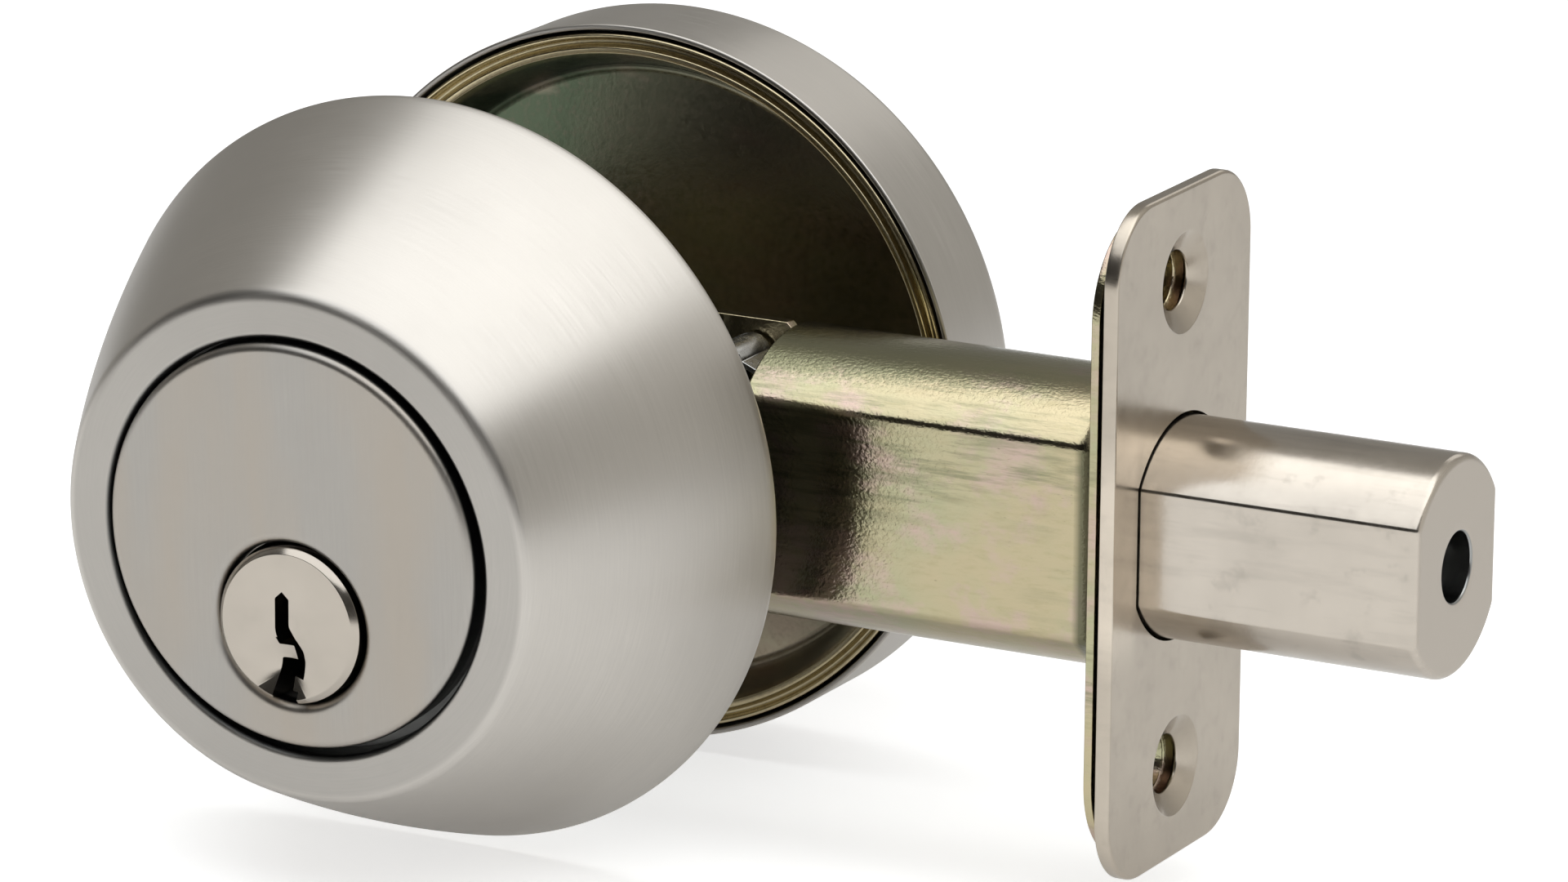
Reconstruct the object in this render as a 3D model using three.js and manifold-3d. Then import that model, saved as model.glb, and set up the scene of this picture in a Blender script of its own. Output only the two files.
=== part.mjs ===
// Tubular deadbolt door lock: keyed cylinder outside, thumbturn inside, latch-style bolt unit.
// Millimetres. +X runs along the bolt to its tip, +Y from the keyed side to the turn side,
// +Z up. The origin is where the bolt's centreline crosses the middle of the cross bore.
// Every part is drawn with the bolt thrown and the keyway upright.
import * as THREE from 'three';
import { mergeVertices } from 'three/addons/utils/BufferGeometryUtils.js';
import Module from 'manifold-3d';

const wasm = await Module();
wasm.setup();

// ---- Driving dimensions -------------------------------------------------------------------
// Clearances
const seatGap = 0.3; // between two parts that seat on each other
const slideGap = 0.4; // around the bolt where it slides
const pinGap = 0.25; // around pins, rivets and turning journals
const overcut = 1; // how far a cutting tool reaches past the metal

// Door
const doorGap = 34; // between collar rim and rose rim
const backset = 61; // cross bore centre to faceplate front
const axisDrop = 7.1; // plug, crank and turn axis below the bolt's centreline

// Collar
const collarRadius = 32;
const collarDepth = 23.2;
const lipRadius = 20.9; // outer edge of the front ring
const lipRound = 0.8;
const collarOpening = 17.6;
const collarWall = 2.6;
const collarFrontWall = 2.6;
const collarBulge = 0.18; // how far the cone bellies out, as a share of its rise
const rimEdge = 0.5; // upright edge at the collar's back rim

// Guard ring
const guardWidth = 2.6;
const guardDepth = 4.6;
const guardFlange = 1.6;

// Cylinder housing
const discGap = 0.6; // shadow gap round the face disc
const discProud = 0.3;
const discRound = 0.8;
const flangeOverlap = 1.6;
const flangeThickness = 2.2;
const barrelWall = 3.6;
const bibleWidth = 9.2;
const bibleTop = 13; // above the bolt's centreline
const housingEndWall = 1.2; // behind the last chamber
const postRadius = 3.7;
const postWeb = 3;
const postHoleDepth = 15;
const screwSpread = 16; // through screws, each side of the axis

// Plug and pins
const plugRadius = 6.6;
const plugProud = 0.4;
const plugChamfer = 0.5;
const plugHoleRound = 0.9;
const pinCount = 5;
const pinPitch = 3.96;
const firstPin = 6.4; // plug face to the first chamber
const chamberFloor = 0.6; // below the plug's axis
const pinRadius = 1.3;
const pinChamfer = 0.5;
const keyPinLengths = [5.6, 4.6, 5.9, 5.0, 6.2];
const driverLength = 4.2;
const capThickness = 1;
const springWire = 0.36;
const springTurns = 4;
const shearGap = 0.3; // between a pin's end and the shear line
const keyPinTip = 0.8; // bevel on the end that rides on the key

// Keyway outline, from the plug's axis: places across are + to the right, seen from outside
const keywayTop = 2.9;
const keywayShoulder = 2.3; // where the pointed top begins
const keywayLeft = -1.1;
const keywayRight = 0.2;
const keywayNick = 0.15; // small step on the left, above the ward
const keywayNickTop = -0.3;
const keywayNickFoot = -1;
const keywayWard = 0.6; // tip of the ward that stands in from the left
const keywayWardRoot = -0.9;
const keywayWardTop = -1.65;
const keywayWardFoot = -2.85;
const keywayBelly = 1.5; // widest place on the right
const keywayBellyHeight = -2.8;
const keywayBellyFoot = -4.5;
const keywayBellyFootRight = 1.25;
const keywayNotch = 0.25; // ward on the right, below the belly
const keywayNotchTop = -4.4;
const keywayNotchFoot = -5.5;
const keywayFootLeft = -1.6;
const keywayFootRight = 0.8;
const leadInRadius = 3; // countersunk entry for the key's tip
const leadInDepth = 1.3;
const leadInRight = -0.3; // cone's centre, from the plug's axis
const leadInDrop = 3.7;

// Plug end: clip, tailpiece and cap
const neckRadius = 4.9;
const neckLength = 2.7;
const clipThickness = 0.8;
const clipGrooveDepth = 0.7;
const clipLip = 0.9; // how far the clip stands past the plug's bore
const capWall = 1;
const toothRadius = 4.4;
const toothThickness = 1.2;
const toothHalfAngle = 20; // degrees
const lugHalfAngle = 18; // degrees
const bladeRadius = 3;
const bladeFlat = 0.7; // flat of the D section, past its centre

// Edge plates
const plateHeight = 57.15;
const plateWidth = 25.4;
const plateCorner = 6.35;
const faceplateThickness = 1.25;
const backplateHeight = 54.2;
const backplateWidth = 24.6;
const backplateCorner = 7.8;
const backplateThickness = 0.75;
const bossLength = 1.3; // drawn bosses behind the backplate's screw holes
const bossWall = 0.6;
const plateGap = 0.5;
const plateScrewSpacing = 41.3;
const plateScrewRadius = 2.6;
const countersinkRadius = 4.3;

// Bolt
const boltThrow = 24.8;
const boltRadius = 9.3;
const boltWidth = 15.8; // across the flats
const boltInHousing = 9; // left behind the faceplate when thrown
const boltEdge = 0.5;
const endBoreRadius = 2.95;
const endBoreDepth = 24;
const antiSawRadius = 2.55;
const antiSawRecess = 3.4;

// Bolt housing tube
const tubeRadius = 12.4;
const tubeWidth = 18.5; // across the flats
const tubeWall = 0.9;
const tubeStart = 25; // cross bore centre to the tube's inner end
const bulkheadThickness = 1.2;

// Crank case
const casePlateThickness = 1.2;
const caseInnerWidth = 6;
const caseHeight = 23.2;
const caseBack = 20.5; // cross bore centre to the case's back edge
const caseNotchHeight = 5.4; // top of the exterior plate ahead of the crank
const caseNotchStart = 15.5;
const caseCorner = 2;
const spacerRadius = 1.4;
const spacerHead = 0.8;
const spacerInset = 2.4; // plate's back edge to the upper spacer's rim
const upperSpacerZ = 6;
const lowerSpacerX = 9.5;
const lowerSpacerZ = -9.4;

// Crank and tail
const hubRadius = 5;
const journalRadius = 4.2;
const journalProud = 0.8;
const armThickness = 2;
const armHalfWidth = 2.4;
const crankPinRadius = 1.2;
const slotPlay = 0.9; // each side of the crank pin
const tineThickness = 1.25;
const tailLow = 1; // tail bar, below the bolt's centreline
const tailHigh = 3;
const tailHeadTop = 11.5;
const tailHeadWall = 1.9;
const tailInBolt = 6;
const tailRivetRadius = 1.2;
const detentNotch = 0.5;

// Detent spring
const leafThickness = 0.5;
const leafWidth = 5;
const leafCurlRadius = 1.5;
const leafClearance = 2.2; // leaf's touching point to the tail's head
const leafCurlLead = 1.2; // curl's centre past the touching point
const leafCurlDrop = 1.2; // curl's top below the tail's head
const leafCurlSweep = 216; // degrees of the curl
const leafCurlStart = 10; // degrees
const leafRoot = 1.6; // leaf's foot above the tail bar
const leafTipLength = 1;
const leafTipRise = 0.6;

// Interior half
const roseRadius = 31.75;
const roseDepth = 11.6;
const roseWall = 0.5;
const roseRound = 3.2;
const plateRimGap = 0.3; // between mounting plate and rose
const panRimWidth = 1.7; // from the pan's wall to the plate's rim
const panTaper = 2.1; // how far the pan's wall leans in
const panDepth = 5.4;
const panWall = 1.2;
const panStep = 0.9; // groove and bead round the pan
const shaftRadius = 5.2;
const shaftWall = 1.9;
const turnHubRadius = 10.5;
const turnHubThickness = 2.6;
const turnReach = 18; // rose face to the grip's top
const turnSpan = 38;
const turnWaist = 15;
const turnThickness = 8.5;
const turnRound = 1.4;
const turnCorner = 3;
const turnClipThickness = 0.7;
const turnClipDepth = 0.6;
const turnClipRim = 2; // clip's width past the shaft
const washerRim = 3;
const washerThickness = 0.6;
const screwShankRadius = 2;
const screwHeadRadius = 3.8;
const screwHeadHeight = 2.2;
const screwSlotWidth = 1.1;
const screwEngagement = 12;

// ---- Places worked out from the driving dimensions ------------------------------------------
const rad = THREE.MathUtils.degToRad;
const exteriorFace = -doorGap / 2;
const interiorFace = doorGap / 2;
const collarFront = exteriorFace - collarDepth;
const discFront = collarFront - discProud;
const plugFront = discFront - plugProud;
const flangeFront = collarFront + collarFrontWall + seatGap;
const flangeBack = flangeFront + flangeThickness;
const barrelBore = plugRadius + seatGap;
const chamberRadius = pinRadius + pinGap;
const chamberYs = Array.from({ length: pinCount }, (_, i) => plugFront + firstPin + i * pinPitch);
const housingBack = chamberYs.at(-1) + chamberRadius + housingEndWall;
const shearLine = plugRadius - axisDrop;
const chamberTop = bibleTop + seatGap;
const neckEnd = housingBack + neckLength;
const toothFront = neckEnd + seatGap;
const toothBack = toothFront + toothThickness;
const tailCapInner = neckRadius + seatGap;
const tailCapBack = toothBack + seatGap + capWall;
const crankAngle = 45; // degrees each side of upright
const crankArm = boltThrow / 2 / Math.sin(rad(crankAngle));
const crankPinX = boltThrow / 2;
const faceplateBack = backset - faceplateThickness;
const backplateFront = faceplateBack - plateGap;
const backplateBack = backplateFront - backplateThickness;
const boltTip = backset + boltThrow;
const boltBack = backset - boltInHousing;
const tubeEnd = backplateBack - seatGap;
const tubeInnerRadius = tubeRadius - tubeWall;
const tubeInnerWidth = tubeWidth - 2 * tubeWall;
const bulkheadStart = tubeStart + seatGap;
const caseFront = tubeStart - seatGap;
const caseOuter = caseInnerWidth / 2 + casePlateThickness;
const plateRadius = roseRadius - roseWall - plateRimGap;
const panRadius = plateRadius - panRimWidth;
const panFloor = interiorFace + panDepth;
const panBack = panFloor + panWall;
const roseBack = interiorFace + roseDepth;
const roseInnerBack = roseBack - roseWall;
const turnBase = roseBack + seatGap;
const turnTop = roseBack + turnReach;
const shaftFront = panBack + seatGap;
const roseHole = shaftRadius + seatGap;
const socketRadius = bladeRadius + seatGap;
const bladeEnd = turnBase - seatGap;
const turnGrooveWidth = turnClipThickness + 2 * seatGap;
const turnGroove = roseInnerBack - seatGap - washerThickness - turnGrooveWidth;
const tailBarWidth = armThickness + 2 * (seatGap + tineThickness);
const tailRivetX = boltBack + tailInBolt / 2;
const tailRivetZ = (tailHigh - tailLow) / 2;
const tailHeadFront = crankPinX + crankPinRadius + slotPlay + tailHeadWall;
const leafTouchX = tailHeadFront + leafClearance;
// The fork clears the arm's root when the bolt is drawn back.
const armRootX = armHalfWidth / Math.cos(rad(crankAngle)) - (axisDrop - tailLow) * Math.tan(rad(crankAngle));
const forkEnd = boltThrow + armRootX + slotPlay;

// ---- Materials ----------------------------------------------------------------------------
const metal = (name, color, roughness) =>
  Object.assign(new THREE.MeshStandardMaterial({ color, roughness, metalness: 1 }), { name });
const satinNickel = metal('satin_nickel', 0xa9a59c, 0.4);
const brightNickel = metal('bright_nickel', 0xc9c2b6, 0.22);
const yellowZinc = metal('yellow_zinc', 0xb9a873, 0.32);
const steel = metal('steel', 0x9b9b98, 0.38);
const hardSteel = metal('hard_steel', 0x4c4a47, 0.5);
const brass = metal('brass', 0xb8995a, 0.3);
const springSteel = metal('spring_steel', 0xc2c2bf, 0.28);
const zincCasting = metal('zinc_casting', 0x8f8d88, 0.55);

// ---- Solid helpers --------------------------------------------------------------------------
const round = { large: 48, medium: 32, small: 16 };

// Turns a closed three.js geometry into a solid with its faces pointing out.
function solid(geometry) {
  const bare = new THREE.BufferGeometry();
  bare.setAttribute('position', geometry.getAttribute('position').clone());
  if (geometry.index) bare.setIndex(geometry.index.clone());
  const merged = mergeVertices(bare, 1e-4);
  const vertProperties = new Float32Array(merged.getAttribute('position').array);
  const corners = Uint32Array.from(merged.index.array);
  const build = (triVerts) => new wasm.Manifold(new wasm.Mesh({ numProp: 3, vertProperties, triVerts }));
  const made = build(corners);
  if (made.volume() > 0) return made;
  for (let i = 0; i < corners.length; i += 3) corners.subarray(i, i + 2).reverse();
  return build(corners);
}

const joined = (first, ...others) => others.reduce((sum, other) => sum.add(other), first);
const cut = (body, ...tools) => tools.reduce((left, tool) => left.subtract(tool), body);

// Turned parts: a closed profile of [radius, along] points, about +Y at x and z.
function turned(profile, { x = 0, z = 0, sides = round.medium } = {}) {
  const points = profile.map(([radius, along]) => new THREE.Vector2(radius, along));
  if (profile[0][0] > 0) points.push(points[0].clone());
  return solid(new THREE.LatheGeometry(points, sides).translate(x, 0, z));
}

// A cylinder along Y from one place to another.
function rodY(radius, from, to, { x = 0, z = 0, sides = round.small } = {}) {
  const middle = (from + to) / 2;
  return solid(new THREE.CylinderGeometry(radius, radius, to - from, sides).translate(x, middle, z));
}

// A cylinder or cone along X.
function rodX(radius, from, to, { y = 0, z = 0, sides = round.small, endRadius = radius } = {}) {
  const cone = new THREE.CylinderGeometry(endRadius, radius, to - from, sides);
  return solid(cone.rotateZ(-Math.PI / 2).translate((from + to) / 2, y, z));
}

function rodZ(radius, from, to, { x = 0, y = 0, sides = round.small, endRadius = radius } = {}) {
  const cone = new THREE.CylinderGeometry(endRadius, radius, to - from, sides);
  return solid(cone.rotateX(Math.PI / 2).translate(x, y, (from + to) / 2));
}

function block([x0, x1], [y0, y1], [z0, z1]) {
  const box = new THREE.BoxGeometry(x1 - x0, y1 - y0, z1 - z0);
  return solid(box.translate((x0 + x1) / 2, (y0 + y1) / 2, (z0 + z1) / 2));
}

// A shape drawn in (y, z) and pushed along X.
function plateX(shape, from, to, curveSegments = 8) {
  const slab = new THREE.ExtrudeGeometry(shape, { depth: to - from, bevelEnabled: false, curveSegments });
  const basis = new THREE.Matrix4().makeBasis(
    new THREE.Vector3(0, 1, 0), new THREE.Vector3(0, 0, 1), new THREE.Vector3(1, 0, 0));
  return solid(slab.applyMatrix4(basis).translate(from, 0, 0));
}

// A shape drawn in (x, z) and pushed along Y.
function plateY(shape, from, to, curveSegments = 8) {
  const slab = new THREE.ExtrudeGeometry(shape, { depth: to - from, bevelEnabled: false, curveSegments });
  const basis = new THREE.Matrix4().makeBasis(
    new THREE.Vector3(1, 0, 0), new THREE.Vector3(0, 0, 1), new THREE.Vector3(0, -1, 0));
  return solid(slab.applyMatrix4(basis).translate(0, to, 0));
}

// A circle with two upright flats, as the bolt and its tube have.
function flattedCircle(radius, width) {
  const half = width / 2;
  const corner = Math.acos(half / radius);
  const shape = new THREE.Shape();
  shape.absarc(0, 0, radius, corner, Math.PI - corner, false);
  shape.absarc(0, 0, radius, Math.PI + corner, -corner, false);
  shape.closePath();
  return shape;
}

function roundedRect(width, height, corner) {
  const x = width / 2;
  const y = height / 2;
  const shape = new THREE.Shape();
  shape.absarc(x - corner, y - corner, corner, 0, Math.PI / 2, false);
  shape.absarc(corner - x, y - corner, corner, Math.PI / 2, Math.PI, false);
  shape.absarc(corner - x, corner - y, corner, Math.PI, 1.5 * Math.PI, false);
  shape.absarc(x - corner, corner - y, corner, 1.5 * Math.PI, 2 * Math.PI, false);
  shape.closePath();
  return shape;
}

// The blade's D section; its flat faces the crank arm. grow widens it for the holes it fits.
function dSection(grow) {
  const lean = Math.PI / 2 - rad(crankAngle);
  const spread = Math.acos((bladeFlat + grow) / (bladeRadius + grow));
  const shape = new THREE.Shape();
  shape.absarc(0, 0, bladeRadius + grow, lean + spread, lean - spread + 2 * Math.PI, false);
  shape.closePath();
  return shape;
}

// A slice of a disc, in degrees from +X toward +Z.
function sector(radius, middle, half) {
  const start = rad(middle - half);
  const shape = new THREE.Shape();
  shape.moveTo(0, 0);
  shape.lineTo(radius * Math.cos(start), radius * Math.sin(start));
  shape.absarc(0, 0, radius, start, rad(middle + half), false);
  shape.closePath();
  return shape;
}

// Points of an arc in a profile, from one angle to another in degrees.
function arc(radius, along, size, from, to, steps = 3) {
  return Array.from({ length: steps + 1 }, (_, i) => {
    const angle = rad(from + ((to - from) * i) / steps);
    return [radius + size * Math.cos(angle), along + size * Math.sin(angle)];
  });
}

const lock = new THREE.Group();

// Adds a solid as a named part. A part on the turning axis is drawn about its own axis.
function add(name, body, material, z = 0) {
  const { numProp, vertProperties, triVerts } = body.getMesh();
  const geometry = new THREE.BufferGeometry();
  geometry.setAttribute('position', new THREE.BufferAttribute(Float32Array.from(vertProperties), numProp));
  geometry.setIndex(new THREE.BufferAttribute(Uint32Array.from(triVerts), 1));
  geometry.computeVertexNormals();
  const mesh = new THREE.Mesh(geometry, material.clone());
  mesh.name = name;
  mesh.position.z = z;
  lock.add(mesh);
}

// ---- Exterior half --------------------------------------------------------------------------
// Outer radius of the collar's cone, from 0 at the front ring to 1 at the back rim.
function coneRadius(share) {
  const rise = share * (1 + collarBulge) - collarBulge * share * share;
  return lipRadius + (collarRadius - lipRadius) * rise;
}

const coneLength = collarDepth - rimEdge;
const collarShare = (y) => (y - collarFront) / coneLength;

// How far back the cone reaches a radius.
function coneDepthAt(radius) {
  const rise = (radius - lipRadius) / (collarRadius - lipRadius);
  const slope = 1 + collarBulge;
  return (coneLength * (slope - Math.sqrt(slope * slope - 4 * collarBulge * rise))) / (2 * collarBulge);
}

function collar() {
  const shares = [0.2, 0.4, 0.6, 0.8, 1];
  const alongCone = (share) => collarFront + share * coneLength;
  const outer = shares.map((share) => [coneRadius(share), alongCone(share)]);
  const innerStart = collarShare(collarFront + collarFrontWall);
  const inner = [1, 0.6, innerStart].map((share) => [coneRadius(share) - collarWall, alongCone(share)]);
  return turned([
    ...arc(collarOpening + lipRound, collarFront + lipRound, lipRound, 180, 270),
    ...arc(lipRadius - lipRound, collarFront + lipRound, lipRound, 270, 335),
    ...outer,
    [collarRadius, exteriorFace],
    [collarRadius - collarWall, exteriorFace],
    ...inner,
    [collarOpening, collarFront + collarFrontWall],
  ], { sides: round.large });
}

function guardRing() {
  const back = exteriorFace - seatGap;
  const front = back - guardDepth;
  const step = back - guardFlange;
  const roomAt = (y) => coneRadius(collarShare(y)) - collarWall - 2 * seatGap;
  const inner = roomAt(front) - guardWidth;
  return turned([
    [inner, front],
    [roomAt(front), front],
    [roomAt(front), step],
    [roomAt(step), step],
    [roomAt(step), back],
    [inner, back],
  ], { sides: round.large });
}

// Drawn about the bolt's centreline: the disc is centred there, the barrel hangs below it.
function cylinderHousing() {
  const discRadius = collarOpening - discGap;
  const flangeRadius = collarOpening + flangeOverlap;
  const face = turned([
    [0, discFront],
    ...arc(discRadius - discRound, discFront + discRound, discRound, 270, 360),
    [discRadius, flangeFront],
    [flangeRadius, flangeFront],
    [flangeRadius, flangeBack],
    [0, flangeBack],
  ], { sides: round.large });
  const length = [flangeFront, housingBack];
  const barrel = rodY(barrelBore + barrelWall, ...length, { z: -axisDrop, sides: round.medium });
  const bible = block([-bibleWidth / 2, bibleWidth / 2], length, [-axisDrop, bibleTop]);
  const postReach = Math.hypot(screwSpread, axisDrop) + postRadius + collarWall + 2 * seatGap;
  const postFront = Math.max(flangeFront, collarFront + coneDepthAt(postReach));
  const posts = [-1, 1].map((side) => {
    const x = side * screwSpread;
    const post = rodY(postRadius, postFront, housingBack, { x, z: -axisDrop });
    const web = block([Math.min(0, x), Math.max(0, x)], length,
      [-axisDrop - postWeb / 2, -axisDrop + postWeb / 2]);
    return joined(post, web);
  });
  const postHoles = [-1, 1].map((side) =>
    rodY(screwShankRadius + pinGap, housingBack - postHoleDepth, housingBack + overcut,
      { x: side * screwSpread, z: -axisDrop }));
  const bore = turned([
    [0, discFront - overcut],
    [barrelBore + plugHoleRound, discFront - overcut],
    ...arc(barrelBore + plugHoleRound, discFront + plugHoleRound, plugHoleRound, 270, 180),
    [barrelBore, housingBack + overcut],
    [0, housingBack + overcut],
  ], { z: -axisDrop });
  const chambers = chamberYs.map((y) => rodZ(chamberRadius, -axisDrop, bibleTop + overcut, { y }));
  return cut(joined(face, barrel, bible, ...posts), bore, ...postHoles, ...chambers);
}

function chamberCap() {
  const width = bibleWidth / 2;
  const start = flangeBack + seatGap;
  return block([-width, width], [start, housingBack], [chamberTop, chamberTop + capThickness]);
}

// Keyway outline in (x, z) about the plug's axis: pointed top, warded sides, open at the rim.
function keywayShape() {
  const rim = -plugRadius - overcut;
  const shape = new THREE.Shape();
  shape.moveTo((keywayLeft + keywayRight) / 2, keywayTop);
  shape.lineTo(keywayRight, keywayShoulder);
  shape.lineTo(keywayRight, 0);
  shape.bezierCurveTo(keywayRight, keywayNickFoot, keywayBelly, keywayNickFoot,
    keywayBelly, keywayBellyHeight);
  shape.lineTo(keywayBellyFootRight, keywayBellyFoot);
  shape.lineTo(keywayNotch, keywayNotchTop);
  shape.lineTo(keywayNotch, keywayNotchFoot);
  shape.lineTo(keywayFootRight, keywayNotchFoot);
  shape.lineTo(keywayFootRight, rim);
  shape.lineTo(keywayFootLeft, rim);
  shape.lineTo(keywayWardRoot, keywayWardFoot);
  shape.lineTo(keywayWard, keywayWardFoot);
  shape.lineTo(keywayWard - keywayNick, keywayWardTop);
  shape.lineTo(keywayWardRoot, keywayWardTop);
  shape.lineTo(keywayLeft, keywayNickFoot);
  shape.lineTo(keywayLeft + keywayNick, keywayNickFoot);
  shape.lineTo(keywayLeft, keywayNickTop);
  shape.lineTo(keywayLeft, keywayShoulder);
  shape.closePath();
  return shape;
}

// Drawn about the plug's own axis.
function plug() {
  const body = turned([
    [0, plugFront],
    [plugRadius - plugChamfer, plugFront],
    [plugRadius, plugFront + plugChamfer],
    [plugRadius, housingBack],
    [neckRadius - clipGrooveDepth, housingBack],
    [neckRadius - clipGrooveDepth, housingBack + clipThickness + 2 * seatGap],
    [neckRadius, housingBack + clipThickness + 2 * seatGap],
    [neckRadius, neckEnd],
    [0, neckEnd],
  ]);
  const lug = plateY(sector(toothRadius, -90, lugHalfAngle), neckEnd - clipThickness, toothBack);
  const lugRoom = rodY(bladeRadius + 2 * seatGap, neckEnd, toothBack + overcut);
  const keyway = plateY(keywayShape(), plugFront - overcut, housingBack - housingEndWall, 4);
  const leadInFlare = leadInRadius / leadInDepth; // radius per depth, so the cone can start in front
  const leadIn = turned([
    [0, plugFront - overcut],
    [leadInRadius + leadInFlare * overcut, plugFront - overcut],
    [0, plugFront + leadInDepth],
  ], { x: leadInRight, z: -leadInDrop });
  const chambers = chamberYs.map((y) => rodZ(chamberRadius, -chamberFloor, plugRadius + overcut, { y }));
  return cut(joined(body, cut(lug, lugRoom)), keyway, leadIn, ...chambers);
}

// A pin standing along Z with both ends bevelled; tip is the bevel at its lower end.
function pinStanding(y, bottom, top, tip) {
  const profile = [
    new THREE.Vector2(0, bottom),
    new THREE.Vector2(pinRadius - tip, bottom),
    new THREE.Vector2(pinRadius, bottom + tip),
    new THREE.Vector2(pinRadius, top - pinChamfer / 2),
    new THREE.Vector2(pinRadius - pinChamfer / 2, top),
    new THREE.Vector2(0, top),
  ];
  return solid(new THREE.LatheGeometry(profile, 12).rotateX(Math.PI / 2).translate(0, y, 0));
}

// A compression spring along Z.
function coil(y, bottom, top) {
  const radius = pinRadius - springWire;
  const height = top - bottom - springWire;
  const steps = 8;
  const points = Array.from({ length: springTurns * steps + 1 }, (_, i) => {
    const share = i / (springTurns * steps);
    const angle = 2 * Math.PI * springTurns * share;
    const z = bottom + springWire / 2 + height * share;
    return new THREE.Vector3(radius * Math.cos(angle), y + radius * Math.sin(angle), z);
  });
  const section = new THREE.Shape().absarc(0, 0, springWire / 2, 0, 2 * Math.PI, false);
  return solid(new THREE.ExtrudeGeometry(section, {
    steps: springTurns * steps,
    curveSegments: 3,
    bevelEnabled: false,
    extrudePath: new THREE.CatmullRomCurve3(points),
  }));
}

function plugClip() {
  const groove = neckRadius - clipGrooveDepth;
  const outer = barrelBore + clipLip;
  const start = housingBack + seatGap;
  const ring = rodY(outer, start, start + clipThickness, { sides: round.medium });
  const through = [start - overcut, start + clipThickness + overcut];
  const hole = rodY(groove + pinGap, ...through, { sides: round.medium });
  const mouth = block([-groove + seatGap, groove - seatGap], through, [-outer - overcut, 0]);
  return cut(ring, hole, mouth);
}

function tailCap() {
  const front = housingBack + clipThickness + 3 * seatGap;
  return turned([
    [tailCapInner, front],
    [tailCapInner + capWall, front],
    [tailCapInner + capWall, tailCapBack],
    [bladeRadius + seatGap, tailCapBack],
    [bladeRadius + seatGap, tailCapBack - capWall],
    [tailCapInner, tailCapBack - capWall],
  ]);
}

function tailpiece() {
  const blade = plateY(dSection(0), toothFront, bladeEnd);
  const tooth = plateY(sector(toothRadius, crankAngle, toothHalfAngle), toothFront, toothBack);
  return joined(blade, tooth);
}

// ---- Bolt unit ------------------------------------------------------------------------------
const plateScrewZs = [-plateScrewSpacing / 2, plateScrewSpacing / 2];

function edgePlate(outline, front, thickness, ...bosses) {
  const slab = plateX(outline, front - thickness, front, 4);
  const hole = flattedCircle(boltRadius + slideGap, boltWidth + 2 * slideGap);
  const through = [front - thickness - bossLength - overcut, front + overcut];
  const opening = plateX(hole, ...through, 10);
  const screwHoles = plateScrewZs.map((z) => rodX(plateScrewRadius, ...through, { z }));
  return cut(joined(slab, ...bosses), opening, ...screwHoles);
}

function faceplate() {
  const outline = roundedRect(plateWidth, plateHeight, plateCorner);
  const sinks = plateScrewZs.map((z) =>
    rodX(plateScrewRadius, faceplateBack, backset, { z, endRadius: countersinkRadius }));
  return cut(edgePlate(outline, backset, faceplateThickness), ...sinks);
}

function backplate() {
  const outline = roundedRect(backplateWidth, backplateHeight, backplateCorner);
  const bosses = plateScrewZs.map((z) =>
    rodX(plateScrewRadius + bossWall, backplateBack - bossLength, backplateFront, { z }));
  return edgePlate(outline, backplateFront, backplateThickness, ...bosses);
}

function boltHousing() {
  const tube = plateX(flattedCircle(tubeRadius, tubeWidth), tubeStart, tubeEnd, 12);
  const inside = flattedCircle(tubeInnerRadius, tubeInnerWidth);
  const room = plateX(inside, tubeStart - overcut, tubeEnd + overcut, 12);
  return cut(tube, room);
}

function rearBulkhead() {
  const shape = flattedCircle(tubeInnerRadius - seatGap, tubeInnerWidth - 2 * seatGap);
  const disc = plateX(shape, bulkheadStart, bulkheadStart + bulkheadThickness, 8);
  const tailWay = block([bulkheadStart - overcut, bulkheadStart + bulkheadThickness + overcut],
    [-caseInnerWidth / 2, caseInnerWidth / 2], [-tailLow - slideGap, tailHigh + slideGap]);
  return cut(disc, tailWay);
}

function bolt() {
  const sides = round.large;
  const bevelStart = boltTip - boltEdge;
  const blank = plateX(flattedCircle(boltRadius, boltWidth), boltBack, boltTip, 12);
  const edge = rodX(boltRadius + boltEdge, boltBack - overcut, bevelStart - boltEdge, { sides });
  const nose = rodX(boltRadius, bevelStart, boltTip, { sides, endRadius: boltRadius - boltEdge });
  const shank = rodX(boltRadius, bevelStart - boltEdge, bevelStart, { sides });
  const bore = rodX(endBoreRadius, boltTip - endBoreDepth, boltTip + overcut);
  const slotWidth = tailBarWidth + 2 * seatGap;
  const slot = block([boltBack - overcut, boltBack + tailInBolt + seatGap],
    [-slotWidth / 2, slotWidth / 2], [-boltRadius - overcut, boltRadius + overcut]);
  const rivetHole = rodY(tailRivetRadius + pinGap, -boltWidth, boltWidth, { x: tailRivetX, z: tailRivetZ });
  return cut(blank.intersect(joined(edge, shank, nose)), bore, slot, rivetHole);
}

function antiSawPin() {
  const back = boltTip - endBoreDepth + seatGap;
  return rodX(antiSawRadius, back, boltTip - antiSawRecess);
}

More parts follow.
